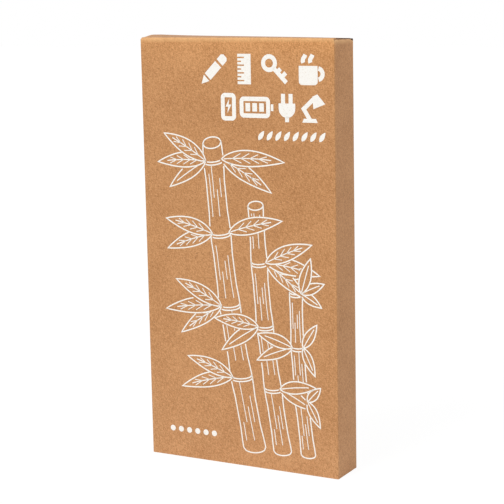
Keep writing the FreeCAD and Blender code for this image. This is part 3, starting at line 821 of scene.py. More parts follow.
@dataclass(frozen=True)
class CartonSizes:
    """Places of the carton's board, read from the frame, and the softness of its folds."""

    half: float
    front: float
    back: float
    board: float
    height: float
    lid_plane: float
    flap_plane: float
    lid_half: float
    lid_back: float
    tongue_half: float
    tongue_tip: float
    flap_tip: float
    flap_front: float
    flap_back: float
    glue_front: float
    glue_low: float
    glue_high: float
    fold: float = 1.35 * MM  # outer radius of the lid's folds
    corner_fold: float = 0.65 * MM  # outer radius of the upright folds
    flap_fold: float = 1.1 * MM  # outer radius of the dust flaps' folds
    nook: float = 0.1 * MM  # inner radius of the upright and the flaps' folds
    crease_reach: float = 2.6 * MM  # flat board on each side that bends with a fold
    bulge: float = 0.35 * MM  # how far the front and back swell
    bulge_power: float = 0.8  # below 1, the swelling starts sooner from the base and the lid
    lid_rise: float = 1.25 * MM  # how far the lid springs up at its left end
    lid_press: float = 0.8 * MM  # how far the lid is pressed down at its back right corner
    crease_lift: float = 0.8 * MM  # how far the lid's crease bows up to the left
    back_drop: float = 1.0 * MM  # how far the back ends below the lid's top
    ridge: float = 0.15 * MM  # how far the flaps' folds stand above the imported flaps
    lean: float = 0.72 * MM  # how much higher the flaps' folds are at the front
    flap_sink: float = 0.6 * MM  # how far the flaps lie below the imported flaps

    @classmethod
    def from_frame(cls) -> "CartonSizes":
        """Reads the panels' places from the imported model.

        Returns:
            The sizes.
        """
        front_low, front_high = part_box("front_panel")
        lid_low, lid_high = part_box("lid_panel")
        tongue_low, tongue_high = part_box("tuck_tongue")
        flap_low, flap_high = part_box("dust_flap_right")
        glue_low, glue_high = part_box("glue_flap")
        return cls(
            half=front_high[0],
            front=front_low[1],
            back=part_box("back_panel")[1][1],
            board=front_high[1] - front_low[1],
            height=lid_high[2],
            lid_plane=lid_low[2],
            flap_plane=flap_low[2],
            lid_half=lid_high[0],
            lid_back=lid_high[1],
            tongue_half=tongue_high[0],
            tongue_tip=tongue_low[2],
            flap_tip=flap_low[0],
            flap_front=flap_low[1],
            flap_back=flap_high[1],
            glue_front=glue_low[1],
            glue_low=glue_low[2],
            glue_high=glue_high[2],
        )

    @property
    def front_top(self) -> float:
        """Where the sleeve's front ends and the lid's fold begins."""
        return self.height - self.fold - self.crease_reach

    @property
    def flap_top(self) -> float:
        """The ridge of the dust flaps' folds."""
        return self.flap_plane + self.board + self.ridge

    @property
    def side_top(self) -> float:
        """Where the sleeve's sides end and the dust flaps' folds begin."""
        return self.flap_top - self.flap_fold - self.crease_reach

    def leaning(self, y: float) -> float:
        """How far the dust flaps' folds stand up towards the front."""
        return self.lean * (self.back - y) / (self.back - self.front)

    def swell(self, x: float, z: float) -> float:
        """How far the front and back stand out from flat.

        Args:
            x: Place across the carton.
            z: Height.

        Returns:
            The distance, zero at the folds.
        """
        across = max(0.0, 1 - (x / self.half) ** 2)
        upward = max(0.0, math.sin(math.pi * min(z / self.front_top, 1)))
        return self.bulge * across * upward**self.bulge_power


@dataclass(frozen=True)
class WallPoint:
    """One upright line of the wall: its outer and inner place, its outward direction and its two ends."""

    outer: Vector
    inner: Vector
    outward: Vector
    low: float
    top: float


@dataclass
class Sleeve:
    """The carton's wall: one blank folded round the insert, glued inside the left corner."""

    sizes: CartonSizes
    finishes: Finishes
    rows: int = 44
    wide_columns: int = 24
    side_columns: int = 6
    glue_columns: int = 4
    fold_steps: int = 7
    seam_gap: float = 0.12 * MM
    end_row: float = 8 * MM
    top_row: float = 1 * MM
    facing: float = 0.99  # how squarely a part of the wall faces the front or back to swell
    lid_corner: float = 0.25  # how far below the lid's fold a corner ends, as a share of the fold's radius
    flap_corner: float = 0.125  # the same below a flap's fold

    @property
    def tuck(self) -> float:
        """How much shorter the board's inner face is at each fold."""
        return self.sizes.board + self.sizes.nook - self.sizes.corner_fold

    def straight(
        self, start: Flat, end: Flat, top: float, count: int, trims: Flat = (1, 1), low: float = 0
    ) -> list[WallPoint]:
        """A flat panel's points.

        Args:
            start: Where its outer face starts.
            end: Where it ends.
            top: The height of its top.
            count: How many columns it has.
            trims: Whether its inner face is shorter for a fold at each end, as 1 or 0.
            low: The height of its foot.

        Returns:
            The points.
        """
        first, last = Vector(start), Vector(end)
        along = (last - first).normalized()
        outward = Vector((along.y, -along.x))
        inner_first = first + along * self.tuck * trims[0] - outward * self.sizes.board
        inner_last = last - along * self.tuck * trims[1] - outward * self.sizes.board
        return [
            WallPoint(first.lerp(last, share), inner_first.lerp(inner_last, share), outward, low, top)
            for share in steps(0, 1, count)
        ]

    def corner(self, centre: Flat, first_deg: float, tops: Flat) -> list[WallPoint]:
        """The points of a right-angled fold between two panels.

        Args:
            centre: The middle of its outer arc.
            first_deg: The outward direction where it starts.
            tops: The heights of its top where it starts and ends.

        Returns:
            The points, without those that the panels have.
        """
        s = self.sizes
        inner_centre = Vector(centre) - Vector(direction(first_deg + 45)) * self.tuck * math.sqrt(2)
        points = []
        for share in steps(0, 1, self.fold_steps)[1:-1]:
            outward = Vector(direction(first_deg + 90 * share))
            outer, inner = Vector(centre) + outward * s.corner_fold, inner_centre + outward * s.nook
            points.append(WallPoint(outer, inner, outward, 0, tops[0] + (tops[1] - tops[0]) * share))
        return points

    def outline(self) -> list[WallPoint]:
        """The blank seen from above, from its raw left edge round to the glue flap.

        Returns:
            Its upright lines, in order.
        """
        s = self.sizes
        x, front, back, r = s.half, s.front, s.back, s.corner_fold
        inner_x = -x + s.board + self.seam_gap
        at_lid, at_back = s.height - s.fold * self.lid_corner, s.height - s.back_drop
        at_flap = s.flap_top - s.flap_fold * self.flap_corner
        glue_start, glue_end = (inner_x, back - r), (inner_x, s.glue_front)
        wide, narrow = self.wide_columns, self.side_columns
        return [
            *self.straight((-x, back - self.seam_gap), (-x, front + r), s.side_top, narrow, (0, 1)),
            *self.corner((-x + r, front + r), 180, (at_flap + s.lean, at_lid + s.crease_lift / 2)),
            *self.straight((-x + r, front), (x - r, front), s.front_top, wide),
            *self.corner((x - r, front + r), 270, (at_lid, at_flap + s.lean)),
            *self.straight((x, front + r), (x, back - r), s.side_top, narrow),
            *self.corner((x - r, back - r), 0, (at_flap, at_back)),
            *self.straight((x - r, back), (inner_x + r, back), at_back, wide),
            *self.corner((inner_x + r, back - r), 90, (at_back, s.glue_high)),
            *self.straight(glue_start, glue_end, s.glue_high, self.glue_columns, (1, 0), s.glue_low),
        ]

    def swollen(self, point: WallPoint, place: Vector, z: float) -> Vector:
        """A point of the wall, moved out where the front or back swells.

        Args:
            point: The upright line that it is on.
            place: Its place seen from above.
            z: Its height.

        Returns:
            The point.
        """
        faces_on = abs(point.outward.y) > self.facing
        spot = place + point.outward * (self.sizes.swell(point.outer.x, z) if faces_on else 0)
        return Vector((spot.x, spot.y, z))

    def build(self) -> None:
        """Makes the folded wall, which stands for all its panels."""
        line = self.outline()
        levels = steps(self.end_row, self.sizes.glue_high - self.top_row, self.rows)
        rows = [
            [point.low for point in line],
            *([level] * len(line) for level in levels),
            [point.top for point in line],
        ]
        outer = [[self.swollen(point, point.outer, z) for point, z in zip(line, row)] for row in rows]
        inner = [[self.swollen(point, point.inner, z) for point, z in zip(line, row)] for row in rows]
        mesh = Mesh()
        mesh.sheet(outer, inner)
        wall = mesh.piece("carton_wall", self.finishes.kraft, self.finishes.kraft_edge)
        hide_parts("front_panel", "back_panel", "left_panel", "right_panel", "glue_flap")
        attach(wall, Body.SLEEVE.value)


class LidRow(NamedTuple):
    """One line across the lid: its y and z, its outward direction in y and z, and half its width."""

    y: float
    z: float
    out_y: float
    out_z: float
    half: float


@dataclass
class Lid:
    """The tuck-in lid with its tongue and fold, sprung up at its left end and pressed down at its right."""

    sizes: CartonSizes
    finishes: Finishes
    columns: int = 30
    flat_rows: int = 12
    crease_rows: int = 4
    back_fold_steps: int = 6
    front_fold_steps: int = 8
    tongue_corner: float = 6 * MM
    shoulder: float = 1.2 * MM
    shoulder_deg: float = 60
    cut_press: float = 0.625
    cut_reach: float = 5 * MM
    arch_peak: float = 0.5
    arch_fall: float = 0.22
    spring_power: float = 5
    root_share: float = 0.95

    def rise(self, x: float, y: float, z: float) -> float:
        """How far the lid and its fold stand up from flat.

        Args:
            x: Place across the carton.
            y: Place from front to back.
            z: Height of the flat lid or fold there.

        Returns:
            The rise, zero where the fold meets the front and below zero at the lid's right end.
        """
        s = self.sizes
        rightward = clamped((1 + x / s.lid_half) / 2)
        backward = (y - s.front - s.fold) / (s.lid_back - s.front - s.fold)
        falling = smooth_step((backward - self.arch_peak) / (1 - self.arch_peak))
        arch = smooth_step(backward / self.arch_peak) - self.arch_fall * falling
        spring = s.lid_rise * (1 - rightward) ** self.spring_power * arch
        bow = (1 - rightward**2) * smooth_step((z - s.front_top) / (s.height - s.front_top))
        return spring + s.crease_lift * bow - s.lid_press * rightward**2 * clamped(backward)

    def thickness(self, x: float) -> float:
        """The board's thickness, pressed thin where the lid was cut along its two ends."""
        s = self.sizes
        return s.board * (1 - self.cut_press * smooth_step((abs(x) - s.lid_half) / self.cut_reach + 1))

    def bend(self, middle: float, turn_deg: float, half: float) -> LidRow:
        """A line across one of the lid's two folds.

        Args:
            middle: The y of the fold's middle.
            turn_deg: The outward direction there, from the back upward.
            half: Half the width there.

        Returns:
            The line.
        """
        s = self.sizes
        cos, sin = direction(turn_deg)
        return LidRow(middle + s.fold * cos, s.height - s.fold + s.fold * sin, cos, sin, half)

    def profile(self) -> list[LidRow]:
        """The lid's outer line seen from the side, from behind the fold to the tongue's tip.

        Returns:
            Its lines across.
        """
        s = self.sizes
        first, last = s.front + s.fold + s.crease_reach, s.lid_back - s.fold
        rows = [LidRow(y, s.height, 0, 1, s.lid_half) for y in steps(first, last, self.flat_rows)]
        neck = s.tongue_half + self.shoulder
        for turn in steps(90, 0, self.back_fold_steps)[1:]:
            half = neck + (s.lid_half - neck) * smooth_step(turn / self.shoulder_deg)
            rows.append(self.bend(last, turn, half))
        radius = s.lid_back - s.front
        sweep = math.degrees(math.asin((s.lid_plane - s.tongue_tip) / radius))
        for turn in steps(0, -sweep, self.flat_rows)[1:]:
            cos, sin = direction(turn)
            from_tip = math.radians(sweep + turn) * radius
            corner = max(0.0, 1 - from_tip / self.tongue_corner)
            half = s.tongue_half - self.tongue_corner * (1 - math.sqrt(max(0.0, 1 - corner**2)))
            rows.append(LidRow(s.front + radius * cos, s.lid_plane + radius * sin, cos, sin, half))
        return rows

    def fold_profile(self) -> list[LidRow]:
        """The outer line of the fold between the front and the lid, seen from the side.

        Returns:
            Its lines across.
        """
        s = self.sizes
        root_half = s.half - s.corner_fold * self.root_share
        inset = s.front + s.fold
        upright = steps(s.front_top, s.height - s.fold, self.crease_rows)
        rows = [LidRow(s.front, z, -1, 0, root_half) for z in upright]
        for turn in steps(180, 90, self.front_fold_steps)[1:]:
            half = s.lid_half + (root_half - s.lid_half) * smooth_step((turn - 90) / 90)
            rows.append(self.bend(inset, turn, half))
        flat = steps(inset, inset + s.crease_reach, self.crease_rows)[1:]
        return rows + [LidRow(y, s.height, 0, 1, s.lid_half) for y in flat]

    def sheet(self, profile: Iterable[LidRow]) -> Mesh:
        """The board along a profile.

        Args:
            profile: The lines across it.

        Returns:
            Its mesh.
        """
        outer: Grid = []
        inner: Grid = []
        for y, z, out_y, out_z, half in profile:
            across = [(x, self.thickness(x), self.rise(x, y, z)) for x in steps(-half, half, self.columns)]
            outer.append([Vector((x, y, z + up)) for x, _, up in across])
            inner.append([Vector((x, y - out_y * thick, z - out_z * thick + up)) for x, thick, up in across])
        mesh = Mesh()
        mesh.sheet(outer, inner)
        return mesh

    def build(self) -> None:
        """Makes the lid with its tongue."""
        lid = self.sheet(self.profile()).piece("carton_lid", self.finishes.kraft, self.finishes.kraft_edge)
        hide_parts("lid_panel", "tuck_tongue")
        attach(lid, Body.LID.value)

    def build_fold(self) -> None:
        """Makes the soft fold between the front and the lid."""
        s = self.sizes
        half_reach = s.crease_reach / 2
        fold = self.sheet(self.fold_profile()).piece("lid_fold", self.finishes.kraft)
        s.height - s.fold - half_reach
        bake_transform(fold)


class FlapRow(NamedTuple):
    """One line along a flap: its outer and inner point inward and up, its ends and its share of the lean."""

    outer: Flat
    inner: Flat
    ends: Flat
    lean: float


@dataclass
class DustFlap:
    """One dust flap under the lid, with the soft fold that joins it to its side."""

    sizes: CartonSizes
    finishes: Finishes
    side: Side
    body: Body
    columns: int = 12
    flat_rows: int = 16
    crease_rows: int = 4
    fold_steps: int = 8
    sink_rows: int = 6
    shoulder: float = 5 * MM
    front_taper: float = 5.9 * MM
    back_taper: float = 3.6 * MM
    round_from: float = 0.9
    round_in: float = 1 * MM
    round_power: float = 3
    narrow_deg: float = 45

    @property
    def name(self) -> str:
        """The flap's name."""
        return self.body.value.removesuffix("_body")

    def spread(self, inward: float) -> Flat:
        """How far the flap reaches to the front and back.

        Args:
            inward: The distance from its side's outer face.

        Returns:
            Its front and back edge there.
        """
        s = self.sizes
        share = max(0.0, inward - self.shoulder) / (s.half - s.flap_tip - self.shoulder)
        rounding = max(0.0, (share - self.round_from) / (1 - self.round_from))
        corner = rounding**self.round_power * self.round_in
        front = s.flap_front + self.front_taper * share + corner
        return front, s.flap_back - self.back_taper * share - corner

    def profile(self) -> list[FlapRow]:
        """The flat flap seen from the front, from its fold to its tip.

        Returns:
            Its lines.
        """
        s = self.sizes
        top = s.flap_plane + s.board - s.flap_sink
        reach = steps(s.flap_fold + s.crease_reach, s.half - s.flap_tip, self.flat_rows)
        return [FlapRow((go, top), (go, top - s.board), self.spread(go), 0) for go in reach]

    def fold_profile(self) -> list[FlapRow]:
        """The fold between the side and the flap seen from the front, from the side up and inward.

        Returns:
            Its lines.
        """
        s = self.sizes
        top, r, nook, rows = s.flap_top, s.flap_fold, s.nook, self.crease_rows
        wall, root = (s.front + s.corner_fold, s.back - s.corner_fold), self.spread(0)
        crease = s.board + nook
        levels = zip(steps(s.side_top, top - r, rows), steps(s.side_top, top - crease, rows))
        profile = [
            FlapRow((0, outer), (s.board, inner), wall, smooth_step(share))
            for (outer, inner), share in zip(levels, steps(0, 1, rows))
        ]
        for turn in steps(0, 90, self.fold_steps)[1:]:
            cos, sin = direction(turn)
            share = smooth_step(turn / self.narrow_deg)
            ends = tuple(a + (b - a) * share for a, b in zip(wall, root))
            outer = (r - r * cos, top - r + r * sin)
            inner = (crease - nook * cos, top - crease + nook * sin)
            profile.append(FlapRow(outer, inner, ends, 1))
        end = r + s.crease_reach
        for share in steps(0, 1, self.sink_rows)[1:]:
            high = top - (s.ridge + s.flap_sink) * smooth_step(share)
            outer = (r + (end - r) * share, high)
            inner = (crease + (end - crease) * share, high - s.board)
            profile.append(FlapRow(outer, inner, root, 1 - smooth_step(share)))
        return profile

    def piece(self, kind: str, profile: Iterable[FlapRow]) -> bpy.types.Object:
        """Makes the board along a profile.

        Args:
            kind: What the piece is, at the end of its name.
            profile: The lines along it.

        Returns:
            The new object.
        """
        s = self.sizes
        grids: tuple[Grid, Grid] = ([], [])
        for row in profile:
            along = steps(*row.ends, self.columns)
            for grid, (inward, z) in zip(grids, (row.outer, row.inner)):
                x = self.side.value * (s.half - inward)
                grid.append([Vector((x, y, z + row.lean * s.leaning(y))) for y in along])
        mesh = Mesh()
        mesh.sheet(*grids)
        return mesh.piece(f"{self.name}_{kind}", self.finishes.kraft, self.finishes.kraft_edge)

    def build(self) -> None:
        """Makes the flap."""
        flap = self.piece("board", self.profile())
        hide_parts(self.name)
        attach(flap, self.body.value)

    def build_fold(self) -> None:
        """Makes the soft fold between the side and the flap."""
        s = self.sizes
        half_reach, sign = s.crease_reach / 2, self.side.value
        fold = self.piece("fold", self.fold_profile())
        sign * s.half
        sign * (s.half - s.flap_fold - half_reach)
        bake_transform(fold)


# The print on the front, drawn in millimetres: x from the front's middle and z from its base

def inside(point: Flat, outline: Sequence[Flat]) -> bool:
    """Whether a point lies inside a closed outline.

    Args:
        point: The point.
        outline: The outline's corners.

    Returns:
        True if it lies inside.
    """
    x, z = point
    hit = False
    for (x0, z0), (x1, z1) in zip(outline, [*outline[1:], outline[0]]):
        if (z0 > z) != (z1 > z) and x < x0 + (x1 - x0) * (z - z0) / (z1 - z0):
            hit = not hit
    return hit


def arc(centre: Flat, radius: float, first_deg: float, last_deg: float, count: int) -> list[Flat]:
    """Points along an arc about a centre, from one turn to another, with count spaces between them."""
    turns = [direction(turn) for turn in steps(first_deg, last_deg, count)]
    return [(centre[0] + radius * cos, centre[1] + radius * sin) for cos, sin in turns]


def rounded(left: float, low: float, right: float, high: float, radius: float) -> list[Flat]:
    """A rectangle with round corners.

    Args:
        left: Its left side.
        low: Its lower side.
        right: Its right side.
        high: Its upper side.
        radius: The corners' radius.

    Returns:
        Its outline.
    """
    path: list[Flat] = []
    for x, z, start in ((right, low, 270), (right, high, 0), (left, high, 90), (left, low, 180)):
        centre = (x + (radius if x == left else -radius), z + (radius if z == low else -radius))
        path += arc(centre, radius, start, start + 90, count=5)
    return path


@dataclass(frozen=True)
class Icon:
    """A pictogram in units of its height: its width, filled shapes, closed lines and open lines."""

    width: float
    fills: Sequence[Sequence[Flat]] = ()
    loops: Sequence[Sequence[Flat]] = ()
    lines: Sequence[Sequence[Flat]] = ()


def icon_pencil() -> Icon:
    """A slanted pencil: its tip, its barrel and its rubber.

    Returns:
        The icon.
    """
    tip = [(0.0, 0.0), (0.30, 0.09), (0.09, 0.30)]
    barrel = [(0.13, 0.35), (0.35, 0.13), (0.76, 0.54), (0.54, 0.76)]
    rubber = [(0.60, 0.82), (0.82, 0.60), (0.98, 0.76), (0.98, 0.86), (0.86, 0.98), (0.76, 0.98)]
    return Icon(1.0, fills=(tip, barrel, rubber))


def icon_ruler() -> Icon:
    """An upright ruler with long and short marks cut into one side.

    Returns:
        The icon.
    """
    long_mark, short_mark, half_mark = 0.25, 0.14, 0.024
    comb = [(0.0, 0.0), (0.50, 0.0), (0.50, 1.0), (0.0, 1.0)]
    for n, z in enumerate(steps(0.88, 0.12, 6)):
        depth = short_mark if n % 2 else long_mark
        comb += [(0.0, z + half_mark), (depth, z + half_mark), (depth, z - half_mark), (0.0, z - half_mark)]
    return Icon(0.50, fills=(comb,))


def icon_key() -> Icon:
    """A key: its bow, its shank and two teeth.

    Returns:
        The icon.
    """
    bow = arc((0.30, 0.70), 0.22, 0, 342, 19)
    shank = [(0.46, 0.54), (0.93, 0.07)]
    teeth = [[(0.76, 0.24), (0.91, 0.39)], [(0.60, 0.40), (0.72, 0.52)]]
    return Icon(1.0, loops=(bow,), lines=(shank, *teeth))


def icon_mug() -> Icon:
    """A mug with its handle and two wisps of steam.

    Returns:
        The icon.
    """
    wide, deep, r = 0.68, 0.62, 0.12
    cup = [*arc((r, r), r, 180, 270, 6), *arc((wide - r, r), r, 270, 360, 6), (wide, deep), (0.0, deep)]
    handle = arc((wide, 0.36), 0.18, -80, 80, 12)
    wisps = [[(x + 0.05 * math.sin(z * 14), z) for z in steps(0.72, 0.98, 6)] for x in (0.20, 0.46)]
    return Icon(0.94, fills=(cup,), lines=(handle, *wisps))


def icon_phone() -> Icon:
    """A phone: its case and a charging bolt on its screen.

    Returns:
        The icon.
    """
    case = rounded(0.08, 0.08, 0.54, 0.92, 0.09)
    bolt = [(0.35, 0.80), (0.19, 0.50), (0.30, 0.50), (0.26, 0.27), (0.43, 0.58), (0.32, 0.58)]
    return Icon(0.62, fills=(bolt,), loops=(case,))


def icon_battery() -> Icon:
    """A lying battery: its case, its pole and three bars of charge.

    Returns:
        The icon.
    """
    case = rounded(0.08, 0.20, 1.16, 0.80, 0.09)
    pole = [(1.27, 0.38), (1.37, 0.38), (1.37, 0.62), (1.27, 0.62)]
    bars = [[(x, 0.35), (x + 0.19, 0.35), (x + 0.19, 0.65), (x, 0.65)] for x in (0.24, 0.52, 0.80)]
    return Icon(1.37, fills=(pole, *bars), loops=(case,))


def icon_plug() -> Icon:
    """A plug: two prongs, its body and the start of its lead.

    Returns:
        The icon.
    """
    body = [(0.06, 0.66), *arc((0.39, 0.48), 0.33, 180, 360, 16), (0.72, 0.66)]
    prongs = [[(x, 0.60), (x, 1.0)] for x in (0.24, 0.54)]
    lead = [(0.39, 0.18), (0.39, 0.0)]
    return Icon(0.78, fills=(body,), lines=(*prongs, lead))


def icon_lamp() -> Icon:
    """A desk lamp: its foot, its jointed arm and its shade.

    Returns:
        The icon.
    """
    foot = [(0.06, 0.0), (0.66, 0.0), (0.60, 0.14), (0.12, 0.14)]
    shade = [(0.46, 0.92), (0.66, 1.0), (0.96, 0.66), (0.50, 0.48)]
    arm = [(0.36, 0.10), (0.12, 0.48), (0.54, 0.86)]
    return Icon(0.96, fills=(foot, shade), lines=(arm,))


@dataclass(frozen=True)
class PictogramRow:
    """One row of pictograms: its base line, its height, the gaps and the icons from left to right."""

    low: float
    tall: float
    gap: float
    icons: tuple[Callable[[], Icon], ...]

    def placed(self, shape: Sequence[Flat], left: float) -> list[Flat]:
        """A shape of an icon whose left side has a place on the front."""
        return [(left + x * self.tall, self.low + z * self.tall) for x, z in shape]


@dataclass(frozen=True)
class Leaf:
    """A slim pointed leaf."""

    base: Flat
    length: float
    width: float
    turn_deg: float
    points: int = 14
    droop: float = 0.12
    belly: float = 0.8  # below 1, the leaf is widest nearer its base
    roundness: float = 0.9  # below 1, its edge is rounder
    rib_ends: Flat = (0.04, 0.8)
    veined_width: float = 9
    vein_places: tuple[float, ...] = (0.18, 0.32, 0.46, 0.60)
    vein_run: float = 0.14
    vein_reach: float = 0.62
    vein_points: int = 4

    @property
    def half(self) -> float:
        """Half the leaf's width, as a share of its length."""
        return self.width / self.length / 2

    def place(self, along: float, aside: float) -> Flat:
        """A point of the leaf.

        Args:
            along: The way along its drooping rib, as a share of its length.
            aside: The distance from the rib, as a share of its length.

        Returns:
            The point.
        """
        cos, sin = direction(self.turn_deg)
        sag = self.droop * along * along * abs(cos)
        x = self.base[0] + self.length * (along * cos - aside * sin)
        return x, self.base[1] + self.length * (along * sin + aside * cos - sag)

    def swell(self, along: float) -> float:
        """The leaf's width along its rib, as a share of its greatest, before its edge is rounded."""
        return math.sin(math.pi * along**self.belly)

    def outline(self) -> list[Flat]:
        """The leaf's edge, once round.

        Returns:
            Its points.
        """
        up = steps(0, 1, self.points)
        swells = [self.swell(share) ** self.roundness if 0 < share < 1 else 0.0 for share in up]
        widths = [self.half * swell for swell in swells]
        left = [self.place(share, width) for share, width in zip(up, widths)]
        right = [self.place(share, -width) for share, width in zip(up, widths)]
        return left + right[-2:0:-1]

    def rib(self) -> list[Flat]:
        """The line along the leaf's middle."""
        return [self.place(share, 0) for share in steps(*self.rib_ends, self.points)]

    def veins(self) -> list[list[Flat]]:
        """Short lines from the rib towards the edge, on the wider leaves.

        Returns:
            The lines.
        """
        if self.width < self.veined_width:
            return []
        paths = []
        for sign in (-1, 1):
            for share in self.vein_places:
                reach = sign * self.half * self.vein_reach * self.swell(share + self.vein_run)
                way = steps(0, 1, self.vein_points)
                paths.append([self.place(share + self.vein_run * go, reach * go) for go in way])
        return paths


@dataclass(frozen=True)
class Cane:
    """A bamboo cane between two points."""

    foot: Flat
    head: Flat
    width: float
    knuckle_gap: float
    points: int = 90
    bow: float = 0.22
    taper: float = 0.12
    pinch: float = 0.07
    pinch_floor: float = -0.2
    lip: float = 0.9
    lip_sag: float = -0.14
    end_sag: float = 0.22
    leaf_root: float = 0.8
    last_knuckle: float = 0.98
    ring_points: int = 12
    fibre_places: tuple[float, ...] = (-0.62, -0.28, 0.12, 0.5)
    fibre_points: int = 14
    fibre_start: float = 0.10  # from here on, shares of the run between two knuckles
    fibre_shift: float = 0.13
    fibre_run: float = 0.26
    fibre_growth: float = 0.11
    fibre_end: float = 0.93
    fibre_least: float = 0.1
    fibre_limit: float = 0.97  # the share of the cane's length where the last fibres end

    @property
    def length(self) -> float:
        """The cane's length."""
        return (Vector(self.head) - Vector(self.foot)).length

    @property
    def joint(self) -> float:
        """The run from one knuckle to the next, as a share of the length."""
        return self.knuckle_gap / self.length

    def at(self, along: float, aside: float) -> Flat:
        """A point of the gently bowed cane.

        Args:
            along: The way along it, as a share of its length.
            aside: The distance from its middle line, in millimetres.

        Returns:
            The point.
        """
        run = Vector(self.head) - Vector(self.foot)
        across = Vector((run.y, -run.x)).normalized()
        bow = math.sin(math.pi * along) * self.width * self.bow
        spot = Vector(self.foot) + run * along + across * (aside - bow)
        return spot.x, spot.y

    def half(self, along: float) -> float:
        """Half the cane's width, drawn in between its knuckles."""
        from_knuckle = max(math.cos(2 * math.pi * along / self.joint), self.pinch_floor)
        return self.width / 2 * (1 - self.taper * along) * (1 - self.pinch + self.pinch * from_knuckle)

    def knuckle(self, number: int, side: Side) -> Flat:
        """Where leaves grow from one side of a knuckle, counted from the foot."""
        along = number * self.joint
        return self.at(along, side.value * self.half(along) * self.leaf_root)

    def side_line(self, side: Side) -> list[Flat]:
        """The line along one side."""
        return [self.at(share, side.value * self.half(share)) for share in steps(0, 1, self.points)]

    def silhouette(self) -> list[Flat]:
        """The cane's outline, once round."""
        return self.side_line(Side.LEFT) + self.side_line(Side.RIGHT)[::-1]

    def lines(self) -> list[list[Flat]]:
        """The cane's sides, its knuckles and its cut ends.

        Returns:
            The lines.
        """
        paths = [self.side_line(side) for side in Side]
        for n in range(1, math.ceil(self.last_knuckle / self.joint)):
            for shift in (-self.lip, self.lip):
                paths.append(self.ring(n * self.joint + shift / self.length, self.lip_sag))
        ends = ((0, -self.end_sag), (1, -self.end_sag), (1, self.end_sag))
        return paths + [self.ring(along, sag) for along, sag in ends]

    def ring(self, along: float, sag: float) -> list[Flat]:
        """A line across the cane, bowed along it as a ring seen from a little above.

        Args:
            along: Where on the cane.
            sag: How far it bows, as a share of the width.

        Returns:
            The line's points.
        """
        half = self.half(clamped(along))
        path = []
        for share in steps(-1, 1, self.ring_points):
            lift = sag * self.width * math.sqrt(max(0.0, 1 - share * share)) / self.length
            path.append(self.at(along + lift, half * share))
        return path

    def fibres(self) -> list[list[Flat]]:
        """Broken lines along the cane between its knuckles, of lengths that change in a fixed order.

        Returns:
            The lines.
        """
        paths = []
        for n in range(int(1 / self.joint) + 1):
            for place, aside in enumerate(self.fibre_places):
                first = (n + self.fibre_start + self.fibre_shift * ((n * 3 + place * 2) % 4)) * self.joint
                run = (self.fibre_run + self.fibre_growth * ((n + place * 3) % 4)) * self.joint
                last = min(first + run, (n + self.fibre_end) * self.joint, self.fibre_limit)
                if last - first > self.joint * self.fibre_least:
                    way = steps(first, last, self.fibre_points)
                    paths.append([self.at(share, aside * self.half(share)) for share in way])
        return paths


@dataclass(frozen=True)
class Spray:
    """Leaves from one side of a cane's knuckle, each with its length, width and turn."""

    cane: Cane
    knuckle: int
    side: Side
    blades: tuple[Triple, ...]

    def leaves(self) -> list[Leaf]:
        """The spray's leaves."""
        return [Leaf(self.cane.knuckle(self.knuckle, self.side), *blade) for blade in self.blades]


